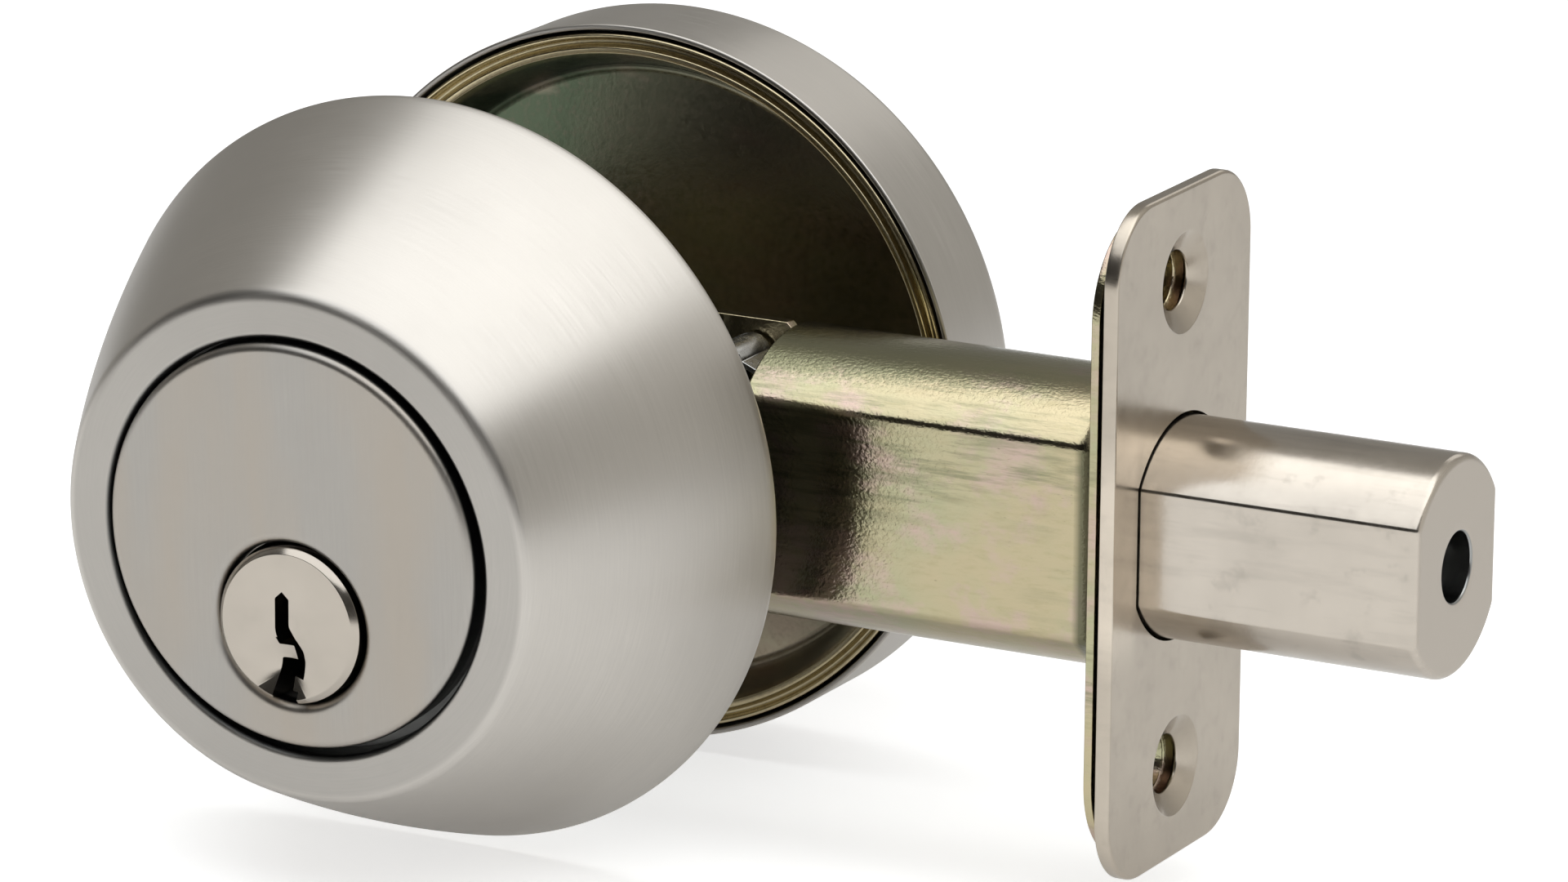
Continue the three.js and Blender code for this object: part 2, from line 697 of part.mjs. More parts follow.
// Forked link: a bar from the bolt, split round the crank arm, with an upright open slot.
function boltTail() {
  const slotHalf = crankPinRadius + slotPlay;
  const headBack = crankPinX - slotHalf - tailHeadWall;
  const half = tailBarWidth / 2;
  const bar = block([headBack, boltBack + tailInBolt], [-half, half], [-tailLow, tailHigh]);
  const head = block([headBack, tailHeadFront], [-half, half], [-tailLow, tailHeadTop]);
  const across = [-half - overcut, half + overcut];
  const slot = block([crankPinX - slotHalf, crankPinX + slotHalf], across, [tailHigh, tailHeadTop + overcut]);
  const fork = block([headBack - overcut, forkEnd], [-half + tineThickness, half - tineThickness],
    [-tailLow - overcut, tailHeadTop + overcut]);
  const notches = [leafTouchX, leafTouchX + boltThrow].map((x) =>
    rodY(detentNotch * 2, ...across, { x, z: tailHigh + detentNotch }));
  const rivetHole = rodY(tailRivetRadius + pinGap, ...across, { x: tailRivetX, z: tailRivetZ });
  return cut(joined(bar, head), slot, fork, rivetHole, ...notches);
}

const tailRivet = () => rodY(tailRivetRadius, -boltWidth / 2 + seatGap, boltWidth / 2 - seatGap,
  { x: tailRivetX, z: tailRivetZ });

// Drawn about the crank's own axis, arm leaning toward the bolt.
const pinAt = { x: crankArm * Math.sin(rad(crankAngle)), z: crankArm * Math.cos(rad(crankAngle)) };

function crank() {
  const hubHalf = caseInnerWidth / 2 - seatGap;
  const hub = rodY(hubRadius, -hubHalf, hubHalf, { sides: round.medium });
  const journalEnd = caseOuter + journalProud;
  const journal = rodY(journalRadius, -journalEnd, journalEnd, { sides: round.medium });
  const arm = block([-armHalfWidth, armHalfWidth], [-armThickness / 2, armThickness / 2], [0, crankArm])
    .rotate([0, crankAngle, 0]);
  const eye = rodY(armHalfWidth, -armThickness / 2, armThickness / 2, pinAt);
  const pinHole = rodY(crankPinRadius + pinGap, -armThickness, armThickness, pinAt);
  const socket = plateY(dSection(seatGap), -journalEnd - overcut, journalEnd + overcut);
  return cut(joined(hub, journal, arm, eye), pinHole, socket);
}

const crankPin = () => rodY(crankPinRadius, -tailBarWidth / 2, tailBarWidth / 2, pinAt);

const spacers = {
  case_spacer_upper: { x: spacerInset - caseBack, z: upperSpacerZ },
  case_spacer_lower: { x: lowerSpacerX, z: lowerSpacerZ },
};

function casePlate(side) {
  const low = -caseHeight / 2;
  const high = caseHeight / 2;
  const shape = new THREE.Shape();
  shape.moveTo(-caseBack + caseCorner, low);
  shape.lineTo(caseFront - caseCorner, low);
  shape.lineTo(caseFront, low + caseCorner);
  if (side < 0) {
    shape.lineTo(caseFront, caseNotchHeight);
    shape.lineTo(caseNotchStart, caseNotchHeight);
    shape.lineTo(caseNotchStart - caseCorner, high);
  } else {
    shape.lineTo(caseFront, high - caseCorner);
    shape.lineTo(caseFront - caseCorner, high);
  }
  shape.lineTo(-caseBack + caseCorner, high);
  shape.lineTo(-caseBack, high - caseCorner);
  shape.lineTo(-caseBack, low + caseCorner);
  shape.closePath();
  const from = side < 0 ? -caseOuter : caseInnerWidth / 2;
  const to = from + casePlateThickness;
  const hole = (radius, x, z, sides) => rodY(radius, from - overcut, to + overcut, { x, z, sides });
  return cut(
    plateY(shape, from, to),
    hole(journalRadius + pinGap, 0, -axisDrop, round.medium),
    hole(screwShankRadius + slideGap, screwSpread, -axisDrop),
    hole(screwShankRadius + slideGap, -screwSpread, -axisDrop),
    ...Object.values(spacers).map(({ x, z }) => hole(spacerRadius / 2 + pinGap, x, z)),
  );
}

function caseSpacer({ x, z }) {
  const shoulder = caseInnerWidth / 2 - seatGap;
  const reach = caseOuter + seatGap;
  return joined(
    rodY(spacerRadius, -shoulder, shoulder, { x, z }),
    rodY(spacerRadius / 2, -reach - spacerHead / 2, reach + spacerHead / 2, { x, z }),
    rodY(spacerRadius, -reach - spacerHead, -reach, { x, z }),
    rodY(spacerRadius, reach, reach + spacerHead, { x, z }),
  );
}

// Leaf spring: its foot stands at the bulkhead, then it curls over and leans on the tail bar.
function detentSpring() {
  const footX = caseFront - seatGap;
  const curlX = leafTouchX + leafCurlLead;
  const curlZ = tailHeadTop - leafCurlRadius - leafCurlDrop;
  const steps = 8;
  const curl = Array.from({ length: steps + 1 }, (_, i) => {
    const angle = rad(leafCurlStart + (leafCurlSweep * i) / steps);
    return [curlX + leafCurlRadius * Math.cos(angle), curlZ + leafCurlRadius * Math.sin(angle)];
  });
  const rest = tailHigh + seatGap + leafThickness;
  const centre = [
    [footX, tailHigh + leafRoot],
    [footX, curlZ - leafTipLength],
    ...curl,
    [leafTouchX, rest],
    [leafTouchX - leafTipLength, rest + leafTipRise],
  ];
  return ribbon(centre.map(([x, z]) => new THREE.Vector2(x, z)));
}

// A strip of even thickness along a line of points in (x, z), pushed along Y.
function ribbon(points) {
  const sides = [1, -1].map((side) => points.map((point, i) => {
    const before = points[Math.max(i - 1, 0)];
    const after = points[Math.min(i + 1, points.length - 1)];
    const way = after.clone().sub(before).normalize();
    return new THREE.Vector2(-way.y, way.x).multiplyScalar((side * leafThickness) / 2).add(point);
  }));
  return plateY(new THREE.Shape([...sides[0], ...sides[1].reverse()]), -leafWidth / 2, leafWidth / 2);
}

// ---- Interior half --------------------------------------------------------------------------
function mountingPlate() {
  const rim = interiorFace + seatGap;
  const foot = panRadius - panTaper;
  const pressed = turned([
    [plateRadius - panStep / 2, interiorFace],
    [plateRadius, rim],
    [plateRadius, rim + panWall],
    [panRadius + panWall, rim + panWall],
    [foot + panWall, panBack],
    [0, panBack],
    [0, panFloor],
    [foot - panStep / 2, panFloor],
    [foot, panFloor - panStep / 2],
    [panRadius, rim + panStep / 2],
    [panRadius + panStep / 4, rim + panStep / 4],
    [panRadius + panStep / 2, rim + panStep / 2],
  ], { sides: round.large });
  const through = [panFloor - overcut, panBack + overcut];
  const shaftWay = rodY(shaftRadius + slideGap, ...through, { z: -axisDrop, sides: round.medium });
  const screwWays = [-1, 1].map((side) =>
    rodY(screwShankRadius + slideGap, ...through, { x: side * screwSpread, z: -axisDrop }));
  return cut(pressed, shaftWay, ...screwWays);
}

function rose() {
  const shell = turned([
    [roseRadius - roseWall, interiorFace],
    [roseRadius, interiorFace],
    ...arc(roseRadius - roseRound, roseBack - roseRound, roseRound, 0, 90, 4),
    [0, roseBack],
    [0, roseInnerBack],
    ...arc(roseRadius - roseRound, roseBack - roseRound, roseRound - roseWall, 90, 0, 4),
  ], { sides: round.large });
  const through = [roseInnerBack - overcut, roseBack + overcut];
  return cut(shell, rodY(roseHole, ...through, { z: -axisDrop, sides: round.medium }));
}

// Drawn about the turn's own axis, grip level.
function thumbturn() {
  const hub = turned([
    [0, turnBase],
    [turnHubRadius, turnBase],
    ...arc(turnHubRadius - turnRound, turnBase + turnHubThickness - turnRound, turnRound, 0, 90),
    [0, turnBase + turnHubThickness],
  ]);
  const shaft = rodY(shaftRadius, shaftFront, turnBase + turnHubThickness / 2, { sides: round.medium });
  const grip = gripSolid();
  const groove = cut(
    rodY(shaftRadius + overcut, turnGroove, turnGroove + turnGrooveWidth, { sides: round.medium }),
    rodY(shaftRadius - turnClipDepth, turnGroove - overcut, roseBack, { sides: round.medium }),
  );
  const socket = plateY(dSection(seatGap), shaftFront - overcut, turnBase + seatGap);
  return cut(joined(hub, shaft, grip), groove, socket);
}

// The grip flares from its waist to rounded ends; drawn in (x, y) and given its thickness in z.
function gripSolid() {
  const top = turnTop - turnRound;
  const low = turnBase + turnHubThickness / 2;
  const half = turnSpan / 2 - turnRound;
  const waist = turnWaist / 2 - turnRound;
  const shape = new THREE.Shape();
  const middle = (low + top) / 2;
  shape.moveTo(-waist, low);
  shape.bezierCurveTo(-waist, middle, -half, middle, -half, top - turnCorner);
  shape.quadraticCurveTo(-half, top, -half + turnCorner, top);
  shape.lineTo(half - turnCorner, top);
  shape.quadraticCurveTo(half, top, half, top - turnCorner);
  shape.bezierCurveTo(half, middle, waist, middle, waist, low);
  shape.closePath();
  const depth = turnThickness - 2 * turnRound;
  const slab = new THREE.ExtrudeGeometry(shape, {
    depth, curveSegments: 5, bevelSize: turnRound, bevelThickness: turnRound, bevelSegments: 2,
  });
  return solid(slab.translate(0, 0, -depth / 2));
}

function thumbturnWasher() {
  const back = roseInnerBack - seatGap;
  const front = back - washerThickness;
  const disc = rodY(shaftRadius + washerRim, front, back, { sides: round.medium });
  return cut(disc, rodY(shaftRadius + pinGap, front - overcut, back + overcut, { sides: round.medium }));
}

function thumbturnClip() {
  const front = turnGroove + seatGap;
  const back = front + turnClipThickness;
  const inner = shaftRadius - turnClipDepth + pinGap;
  const outer = shaftRadius + turnClipRim;
  const through = [front - overcut, back + overcut];
  const ring = rodY(outer, front, back, { sides: round.medium });
  const mouth = block([-inner / 2, inner / 2], through, [-outer - overcut, 0]);
  return cut(ring, rodY(inner, ...through, { sides: round.medium }), mouth);
}

function throughScrew(side) {
  const headFront = panBack + seatGap;
  const tip = housingBack - screwEngagement;
  const x = side * screwSpread;
  const z = -axisDrop;
  const top = headFront + screwHeadHeight;
  const shank = rodY(screwShankRadius, tip, (headFront + top) / 2, { x, z });
  const head = rodY(screwHeadRadius, headFront, top, { x, z });
  const reach = screwHeadRadius + overcut;
  const slot = block([x - reach, x + reach], [top - screwSlotWidth, top + overcut],
    [z - screwSlotWidth / 2, z + screwSlotWidth / 2]);
  return cut(joined(shank, head), slot);
}

// ---- Assembly -------------------------------------------------------------------------------
add('collar', collar(), satinNickel);
add('guard_ring', guardRing(), steel);
add('cylinder_housing', cylinderHousing(), satinNickel);
add('chamber_cap', chamberCap(), brass);
add('plug', plug(), brightNickel, -axisDrop);

chamberYs.forEach((y, i) => {
  const keyPinTop = shearLine - shearGap;
  const driverBottom = shearLine + seatGap + shearGap;
  const driverTop = driverBottom + driverLength;
  add(`key_pin_${i + 1}`, pinStanding(y, keyPinTop - keyPinLengths[i], keyPinTop, keyPinTip), brass);
  add(`driver_pin_${i + 1}`, pinStanding(y, driverBottom, driverTop, pinChamfer / 2), brass);
  add(`pin_spring_${i + 1}`, coil(y, driverTop + pinGap, bibleTop), springSteel);
});

add('plug_clip', plugClip(), springSteel, -axisDrop);
add('tail_cap', tailCap(), brass, -axisDrop);
add('tailpiece', tailpiece(), steel, -axisDrop);

add('faceplate', faceplate(), brightNickel);
add('backplate', backplate(), yellowZinc);
add('bolt_housing', boltHousing(), yellowZinc);
add('rear_bulkhead', rearBulkhead(), steel);
add('bolt', bolt(), brightNickel);
add('anti_saw_pin', antiSawPin(), hardSteel);
add('bolt_tail', boltTail(), steel);
add('tail_rivet', tailRivet(), steel);
add('crank', crank(), zincCasting, -axisDrop);
add('crank_pin', crankPin(), steel, -axisDrop);
add('case_plate_exterior', casePlate(-1), yellowZinc);
add('case_plate_interior', casePlate(1), yellowZinc);
Object.entries(spacers).forEach(([name, place]) => add(name, caseSpacer(place), steel));
add('detent_spring', detentSpring(), springSteel);

add('mounting_plate', mountingPlate(), yellowZinc);
add('rose', rose(), satinNickel);
add('thumbturn', thumbturn(), satinNickel, -axisDrop);
add('thumbturn_washer', thumbturnWasher(), springSteel, -axisDrop);
add('thumbturn_clip', thumbturnClip(), springSteel, -axisDrop);
add('through_screw_left', throughScrew(-1), steel);
add('through_screw_right', throughScrew(1), steel);

export default lock;
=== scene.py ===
import math

import bmesh
import bpy
from mathutils import Matrix, Vector


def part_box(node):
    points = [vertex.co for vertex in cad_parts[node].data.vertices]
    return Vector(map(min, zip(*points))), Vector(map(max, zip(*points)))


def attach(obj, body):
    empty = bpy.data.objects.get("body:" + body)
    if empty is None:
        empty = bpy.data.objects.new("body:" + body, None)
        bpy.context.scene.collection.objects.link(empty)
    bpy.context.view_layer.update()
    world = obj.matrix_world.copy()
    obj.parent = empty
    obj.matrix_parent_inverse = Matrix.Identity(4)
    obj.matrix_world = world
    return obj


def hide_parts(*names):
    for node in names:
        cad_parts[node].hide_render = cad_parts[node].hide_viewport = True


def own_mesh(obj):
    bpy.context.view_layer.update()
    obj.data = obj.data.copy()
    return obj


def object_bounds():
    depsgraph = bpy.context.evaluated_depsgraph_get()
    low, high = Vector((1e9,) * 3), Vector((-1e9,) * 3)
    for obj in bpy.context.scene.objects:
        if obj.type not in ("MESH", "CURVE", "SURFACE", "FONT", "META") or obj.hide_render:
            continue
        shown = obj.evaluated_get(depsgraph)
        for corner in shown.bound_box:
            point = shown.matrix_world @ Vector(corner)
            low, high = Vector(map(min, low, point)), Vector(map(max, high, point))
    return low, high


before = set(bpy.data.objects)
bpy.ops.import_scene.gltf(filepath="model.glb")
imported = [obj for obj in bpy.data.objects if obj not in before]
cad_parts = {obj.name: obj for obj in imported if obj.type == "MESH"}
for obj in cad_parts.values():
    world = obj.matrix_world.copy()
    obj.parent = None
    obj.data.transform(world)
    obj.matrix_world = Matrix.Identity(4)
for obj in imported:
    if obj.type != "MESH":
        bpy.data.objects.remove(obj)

bl_info = {
    "name": "Tubular Deadbolt",
    "version": (1, 0, 0),
    "blender": (4, 5, 0),
    "location": "View3D > Sidebar > Deadbolt",
    "description": "Builds the finished looks of a tubular deadbolt round its CAD frame",
    "category": "Object",
}

MM = 0.001
TURN_SIDES = 192  # sides of a turned part
SHELL_SIDES = 256  # sides of the large round shells
ARC_STEPS = 6  # steps in a rounded edge
CUT_PAST = 0.001  # how far a cutter reaches past the metal
TINY = 1e-7  # lengths under this count as none
SEAT_GAP = 0.0003  # room between pieces that meet
FINE_EDGE = 0.0001  # broken edge of the small parts
STEEL_EDGE = 0.0002  # broken edge of the large steel parts
SHARP = math.radians(32)  # shading stays sharp over steeper edges
BEVEL_FROM = math.radians(40)  # steeper edges are broken
FLAT = math.radians(1)  # faces that meet at less are one face

CAD_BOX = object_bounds()


def low(node):
    """Lowest corner of a CAD node."""
    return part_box(node)[0]


def high(node):
    """Highest corner of a CAD node."""
    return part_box(node)[1]


TURN_Z = (low("plug").z + high("plug").z) / 2  # plug, crank and turn axis
PINS = range(1, 6)
PIN_YS = [(low(f"key_pin_{i}").y + high(f"key_pin_{i}").y) / 2 for i in PINS]
POST_SPREAD = 0.016  # from the turn axis to each through screw


# ---- Sizes and finishes a user would change ----


def length(name, description, default):
    """A property holding a length in metres."""
    return bpy.props.FloatProperty(
        name=name, description=description, default=default, min=0.0,
        unit="LENGTH", subtype="DISTANCE", precision=5)


def angle(name, description, degrees):
    """A property holding an angle."""
    return bpy.props.FloatProperty(
        name=name, description=description, default=math.radians(degrees), subtype="ANGLE")


def share(name, description, default):
    """A property holding a share between nothing and all."""
    return bpy.props.FloatProperty(
        name=name, description=description, default=default, min=0.0, max=1.0, subtype="FACTOR")


def colour(name, description, default):
    """A property holding a colour."""
    return bpy.props.FloatVectorProperty(
        name=name, description=description, default=default, size=3, min=0.0, max=1.0,
        subtype="COLOR")


class LockSizes(bpy.types.PropertyGroup):
    """Sizes of the visible metalwork"""

    lip_radius: length("Lip radius", "Outer edge of the collar's front ring", 0.0222)
    lip_round: length("Lip round", "Rounding of the collar's front ring", 0.0014)
    opening_radius: length("Opening radius", "Hole in the collar for the face disc", 0.0178)
    opening_round: length("Opening round", "Rounding of that hole's edge", 0.0006)
    collar_wall: length("Collar wall", "Thickness of the collar", 0.0026)
    collar_bulge: share("Collar bulge", "How far the collar's cone bellies out", 0.18)
    collar_rim: length("Collar rim", "Upright edge at the collar's back", 0.0005)
    collar_spread: length("Collar spread", "How far its rim stands past the CAD radius", 0.0002)
    collar_nod: angle("Collar nod", "How far the loose collar hangs nose down", 3.2)
    collar_swing: angle("Collar swing", "How far the loose collar is swung round", -0.5)
    collar_slip: length("Collar slip", "How far the loose collar sits off to the right", 0.0004)
    disc_radius: length("Disc radius", "Radius of the cylinder's face disc", 0.0173)
    disc_round: length("Disc round", "Rounding of the disc's edge", 0.0008)
    disc_proud: length("Disc proud", "How far the disc stands out of its CAD face", 0.0002)
    disc_left: length("Disc left", "How far the disc sits left in its opening", 0.0002)
    disc_rise: length("Disc rise", "How far the disc sits high in its opening", 0.0002)
    barrel_wall: length("Barrel wall", "Metal round the plug's bore", 0.0036)
    bore_gap: length("Bore gap", "Room round the plug", 0.0003)
    hole_round: length("Plug hole round", "Rounding of the plug's hole in the disc", 0.0009)
    plug_chamfer: length("Plug chamfer", "Bevel round the plug's face", 0.0005)
    lead_in_radius: length("Lead-in radius", "Countersink round the keyway's foot", 0.003)
    lead_in_depth: length("Lead-in depth", "Depth of that countersink", 0.0013)
    plate_corner: length("Faceplate corner", "Corner radius of the faceplate", 0.00635)
    backplate_corner: length("Backplate corner", "Corner radius of the backplate", 0.0078)
    plate_edge: length("Faceplate edge", "Rolled front edge of the faceplate", 0.00035)
    backplate_sheet: length("Backplate sheet", "Thickness of the backplate", 0.00075)
    boss_radius: length("Boss radius", "Drawn boss behind the backplate's screw holes", 0.0032)
    plate_screws: length("Plate screw spacing", "Between the two countersunk holes", 0.0413)
    plate_screw_radius: length("Plate screw hole", "Radius of each screw hole", 0.0026)
    countersink_radius: length("Countersink", "Radius of each countersink", 0.0043)
    bolt_gap: length("Bolt gap", "Room round the bolt in the plates", 0.00027)
    bolt_edge: length("Bolt edge", "Rounding of the bolt's tip", 0.0007)
    bolt_corner: length("Bolt corner", "Rounding where the bolt's flats begin", 0.0007)
    end_bore_radius: length("End bore", "Radius of the hole in the bolt's tip", 0.00295)
    end_bore_depth: length("End bore depth", "Depth of that hole", 0.024)
    tube_wall: length("Tube wall", "Thickness of the bolt's tube", 0.0009)
    tube_corner: length("Tube corner", "Rounding where the tube's flats begin", 0.0012)
    tube_flare: length("Tube flare", "Fillet where the tube opens at the backplate", 0.0032)
    sheet_edge: length("Sheet edge", "Broken edge of the case's sheet metal", 0.00015)
    pan_rim: length("Pan rim", "From the pan's wall to the mounting plate's rim", 0.0017)
    pan_taper: length("Pan taper", "How far the pan's wall leans in", 0.0021)
    pan_groove: length("Pan groove", "Depth of the groove outside the pan's bead", 0.001)
    pan_wall: length("Pan wall", "Thickness of the mounting plate", 0.0012)
    rose_wall: length("Rose wall", "Thickness of the rose", 0.0005)
    rose_round: length("Rose round", "Rounding of the rose's face", 0.0022)
    grip_thickness: length("Grip thickness", "Across the thumbturn's grip", 0.0085)
    grip_waist: length("Grip waist", "Narrowest width of the grip", 0.015)
    grip_corner: length("Grip corner", "Rounding of the grip's ends", 0.003)
    grip_round: length("Grip round", "Rounding of the grip's edges", 0.0014)
    hub_radius: length("Hub radius", "Foot of the thumbturn", 0.0105)
    hub_thickness: length("Hub thickness", "Height of that foot", 0.0026)
    shaft_radius: length("Shaft radius", "Thumbturn's shaft", 0.0052)


class LockFinishes(bpy.types.PropertyGroup):
    """Colours and roughness of the metals"""

    satin: colour("Satin nickel", "Collar, disc, rose and thumbturn", (0.53, 0.503, 0.465))
    satin_warm: colour("Satin nickel, warm", "Bands on the face disc", (0.55, 0.49, 0.42))
    satin_roughness: share("Satin roughness", "Roughness of the satin nickel", 0.36)
    bright: colour("Bright nickel", "Plug and bolt", (0.525, 0.475, 0.413))
    # The faceplate's nickel is warmer than the bright nickel as its own tone, and darker by about
    # 0.92 as painted shade.
    plate: colour("Faceplate nickel", "Faceplate", (0.485, 0.43, 0.36))
    bright_roughness: share("Bright roughness", "Roughness of the bright nickel", 0.18)
    zinc: colour("Yellow zinc", "Tube, backplate and case", (0.47, 0.405, 0.26))
    zinc_green: colour("Zinc, green", "Green patches in the yellow zinc", (0.40, 0.395, 0.25))
    zinc_pink: colour("Zinc, pink", "Pink patches in the yellow zinc", (0.51, 0.385, 0.33))
    zinc_olive: colour("Zinc, olive", "Darker streaks in the yellow zinc", (0.34, 0.305, 0.16))
    # Colour of the scratches, and of the painted reflection along the tube's crown and the painted
    # shade at its foot.
    zinc_scratch_and_shade: colour("Zinc, crown", "Dark coat and scratches on the tube", (0.23, 0.23, 0.14))
    # The plate's colour towards its right side, lifted there as painted light.
    dark_zinc: colour("Dark zinc", "Mounting plate", (0.47, 0.42, 0.31))
    # Also the near-black painted shade at the plate's upper left; its teal clouds are the plate's
    # own tone.
    dark_zinc_teal_and_shade: colour("Dark zinc, teal", "Teal clouds on that plate", (0.09, 0.115, 0.075))
    dark_zinc_brown: colour("Dark zinc, brown", "Brown clouds on it", (0.37, 0.29, 0.23))
    zinc_roughness: share("Zinc roughness", "Roughness of the yellow zinc", 0.13)
    steel: colour("Steel", "Tail, screws, clips and springs", (0.42, 0.42, 0.41))
    steel_roughness: share("Steel roughness", "Roughness of the steel", 0.34)
    brass: colour("Brass", "Pins and caps", (0.56, 0.40, 0.16))
    casting: colour("Zinc casting", "Crank, and the cylinder's raw metal", (0.3, 0.3, 0.29))


class LockStudio(bpy.types.PropertyGroup):
    """Floor and room"""

    floor_drop: length("Floor drop", "From the lock's lowest point to the floor", 0.0004)
    floor_radius: length("Floor radius", "Size of the floor", 4.0)
    floor: colour("Floor", "Colour of the floor", (0.92, 0.92, 0.92))
    # Painted shade: the floor's colour is darkened behind the lock to this share, standing in for
    # the light falling off there.
    floor_back: share("Floor, back", "How pale the floor is behind the lock", 0.7)
    floor_glow: share("Floor, glow", "What the paper adds to its lit colour", 0.62)
    floor_mirrored: share("Floor, mirrored", "How much of that glow the metal mirrors", 0.4)
    room_left: share("Room, left", "Brightness of the room's left side", 0.4)
    room_right: share("Room, right", "Brightness of the room's right side", 0.8)
    room_front: share("Room, front", "How much of that is left in front of the lock", 0.08)
    room_rear: share("Room, rear", "How much of that is left behind the lock", 0.62)


# ---- Mesh helpers ----


def link_piece(name, mesh):
    """Puts a mesh in the scene under its name."""
    piece = bpy.data.objects.new(name, mesh)
    bpy.context.scene.collection.objects.link(piece)
    return piece


def skin(name, rings, loop=False):
    """Skins a run of rings of points. A ring of one point is a pole.

    loop joins the last ring to the first; without it, the end rings are filled.
    """
    made = bmesh.new()
    verts = [[made.verts.new(point) for point in ring] for ring in rings]
    pairs = list(zip(verts, verts[1:]))
    if loop:
        pairs.append((verts[-1], verts[0]))
    for near, far in pairs:
        count = max(len(near), len(far))
        for i in range(count):
            j = (i + 1) % count
            corners = dict.fromkeys([
                near[i % len(near)], near[j % len(near)], far[j % len(far)], far[i % len(far)]])
            if len(corners) > 2:
                made.faces.new(list(corners))
    if not loop:
        for ring in (verts[0], verts[-1]):
            if len(ring) > 2:
                made.faces.new(ring)
    bmesh.ops.recalc_face_normals(made, faces=made.faces)
    mesh = bpy.data.meshes.new(name)
    made.to_mesh(mesh)
    made.free()
    return link_piece(name, mesh)


def sweep(start, end, steps):
    """Angles in even steps from one to another."""
    return [start + (end - start) * i / steps for i in range(steps + 1)]


def arc(radius, angles, u=0.0, v=0.0):
    """Points at those angles on a circle round (u, v)."""
    return [(u + radius * math.cos(a), v + radius * math.sin(a)) for a in angles]


def circle(radius, sides, u=0.0, v=0.0):
    """Points evenly round a circle."""
    return arc(radius, [2 * math.pi * i / sides for i in range(sides)], u, v)


def turned(name, profile, x=0.0, z=0.0, loop=True, sides=TURN_SIDES):
    """A part turned about Y through x, z, from its (radius, y) profile."""
    rings = [[Vector((x, y, z))] if radius < TINY else
             [Vector((u, y, v)) for u, v in circle(radius, sides, x, z)]
             for radius, y in profile]
    return skin(name, rings, loop)


def disc(name, radius, start, end):
    """A flat disc about the Y axis, from one place along it to another."""
    profile = [(0.0, start), (radius, start), (radius, end), (0.0, end)]
    return turned(name, profile, loop=False, sides=SHELL_SIDES)


def at(axis, along, u, v):
    """A point from its place along an axis and its two places across."""
    return Vector({"X": (along, u, v), "Y": (u, along, v), "Z": (u, v, along)}[axis])


def lofted(name, stations, axis, loop=False):
    """A body through outlines of (u, v) points, each at its place along the axis."""
    return skin(name, [[at(axis, along, u, v) for u, v in outline] for along, outline in stations],
                loop)


def rolled(outline, start, end, front, back=0.0, steps=ARC_STEPS):
    """Stations of a slab whose two faces end in rounded edges; outline takes an inset."""
    quarter = sweep(0, math.pi / 2, steps)
    return [
        *((start + back * (1 - math.cos(a)), outline(back * (1 - math.sin(a)))) for a in quarter),
        *((end - front * (1 - math.sin(a)), outline(front * (1 - math.cos(a)))) for a in quarter),
    ]


def rounded(points, closed=False, steps=ARC_STEPS):
    """Turns corners given as (u, v, radius) into arcs; corners given as (u, v) stay sharp."""
    made = []
    count = len(points)
    for i, (u, v, *rest) in enumerate(points):
        inner = closed or 0 < i < count - 1
        if not (rest and rest[0] > 0 and inner):
            made.append((u, v))
            continue
        radius = rest[0]
        corner = Vector((u, v))
        back = (Vector(points[i - 1][:2]) - corner).normalized()
        on = (Vector(points[(i + 1) % count][:2]) - corner).normalized()
        half = back.angle(on) / 2
        middle = corner + (back + on).normalized() * (radius / math.sin(half))
        reach = radius / math.tan(half)
        first, last = corner + back * reach - middle, corner + on * reach - middle
        turn = math.atan2(first.cross(last), first.dot(last))
        begin = math.atan2(first.y, first.x)
        angles = [begin + turn * k / steps for k in range(steps + 1)]
        made += arc(radius, angles, middle.x, middle.y)
    return made


def rounded_rect(width, height, corner, steps):
    """Outline of a rectangle with round corners."""
    u, v = width / 2, height / 2
    corners = [(u, -v, corner), (u, v, corner), (-u, v, corner), (-u, -v, corner)]
    return rounded(corners, closed=True, steps=steps)


def flatted_circle(radius, half, corner, steps=48):
    """Outline of a circle with two flats at u = half and -half, its corners rounded."""
    u = half - corner
    v = math.sqrt((radius - corner) ** 2 - u * u)
    lean = math.atan2(v, u)
    quarter = arc(corner, sweep(0, lean, ARC_STEPS), u, v)
    top = arc(radius, [lean + (math.pi - 2 * lean) * k / steps for k in range(1, steps)])
    upper = quarter + top + [(-a, b) for a, b in reversed(quarter)]
    return upper + [(-a, -b) for a, b in upper]


def keep_result(piece):
    """Replaces a piece's mesh by what its modifiers make of it."""
    bpy.context.view_layer.update()
    depsgraph = bpy.context.evaluated_depsgraph_get()
    mesh = bpy.data.meshes.new_from_object(piece.evaluated_get(depsgraph))
    piece.modifiers.clear()
    piece.data = mesh


def combine(piece, others, operation):
    """Cuts the others from a piece, or joins them to it, and removes them."""
    for other in others:
        step = piece.modifiers.new("combine", "BOOLEAN")
        step.operation = operation
        step.solver = "EXACT"
        step.object = other
        keep_result(piece)
        bpy.data.objects.remove(other)
    if not piece.data.polygons:
        raise RuntimeError(f"{piece.name} came out empty")
    return piece


def carve(piece, *cutters):
    """Cuts the cutters out of a piece."""
    return combine(piece, cutters, "DIFFERENCE")


def fuse(piece, *others):
    """Joins the others to a piece."""
    return combine(piece, others, "UNION")


def rod(axis, radius, start, end, u=0.0, v=0.0, tip=None, sides=64):
    """A cylinder or cone along an axis, used to join or cut."""
    ends = ((start, radius), (end, radius if tip is None else tip))
    return lofted("rod", [(along, circle(r, sides, u, v)) for along, r in ends], axis)


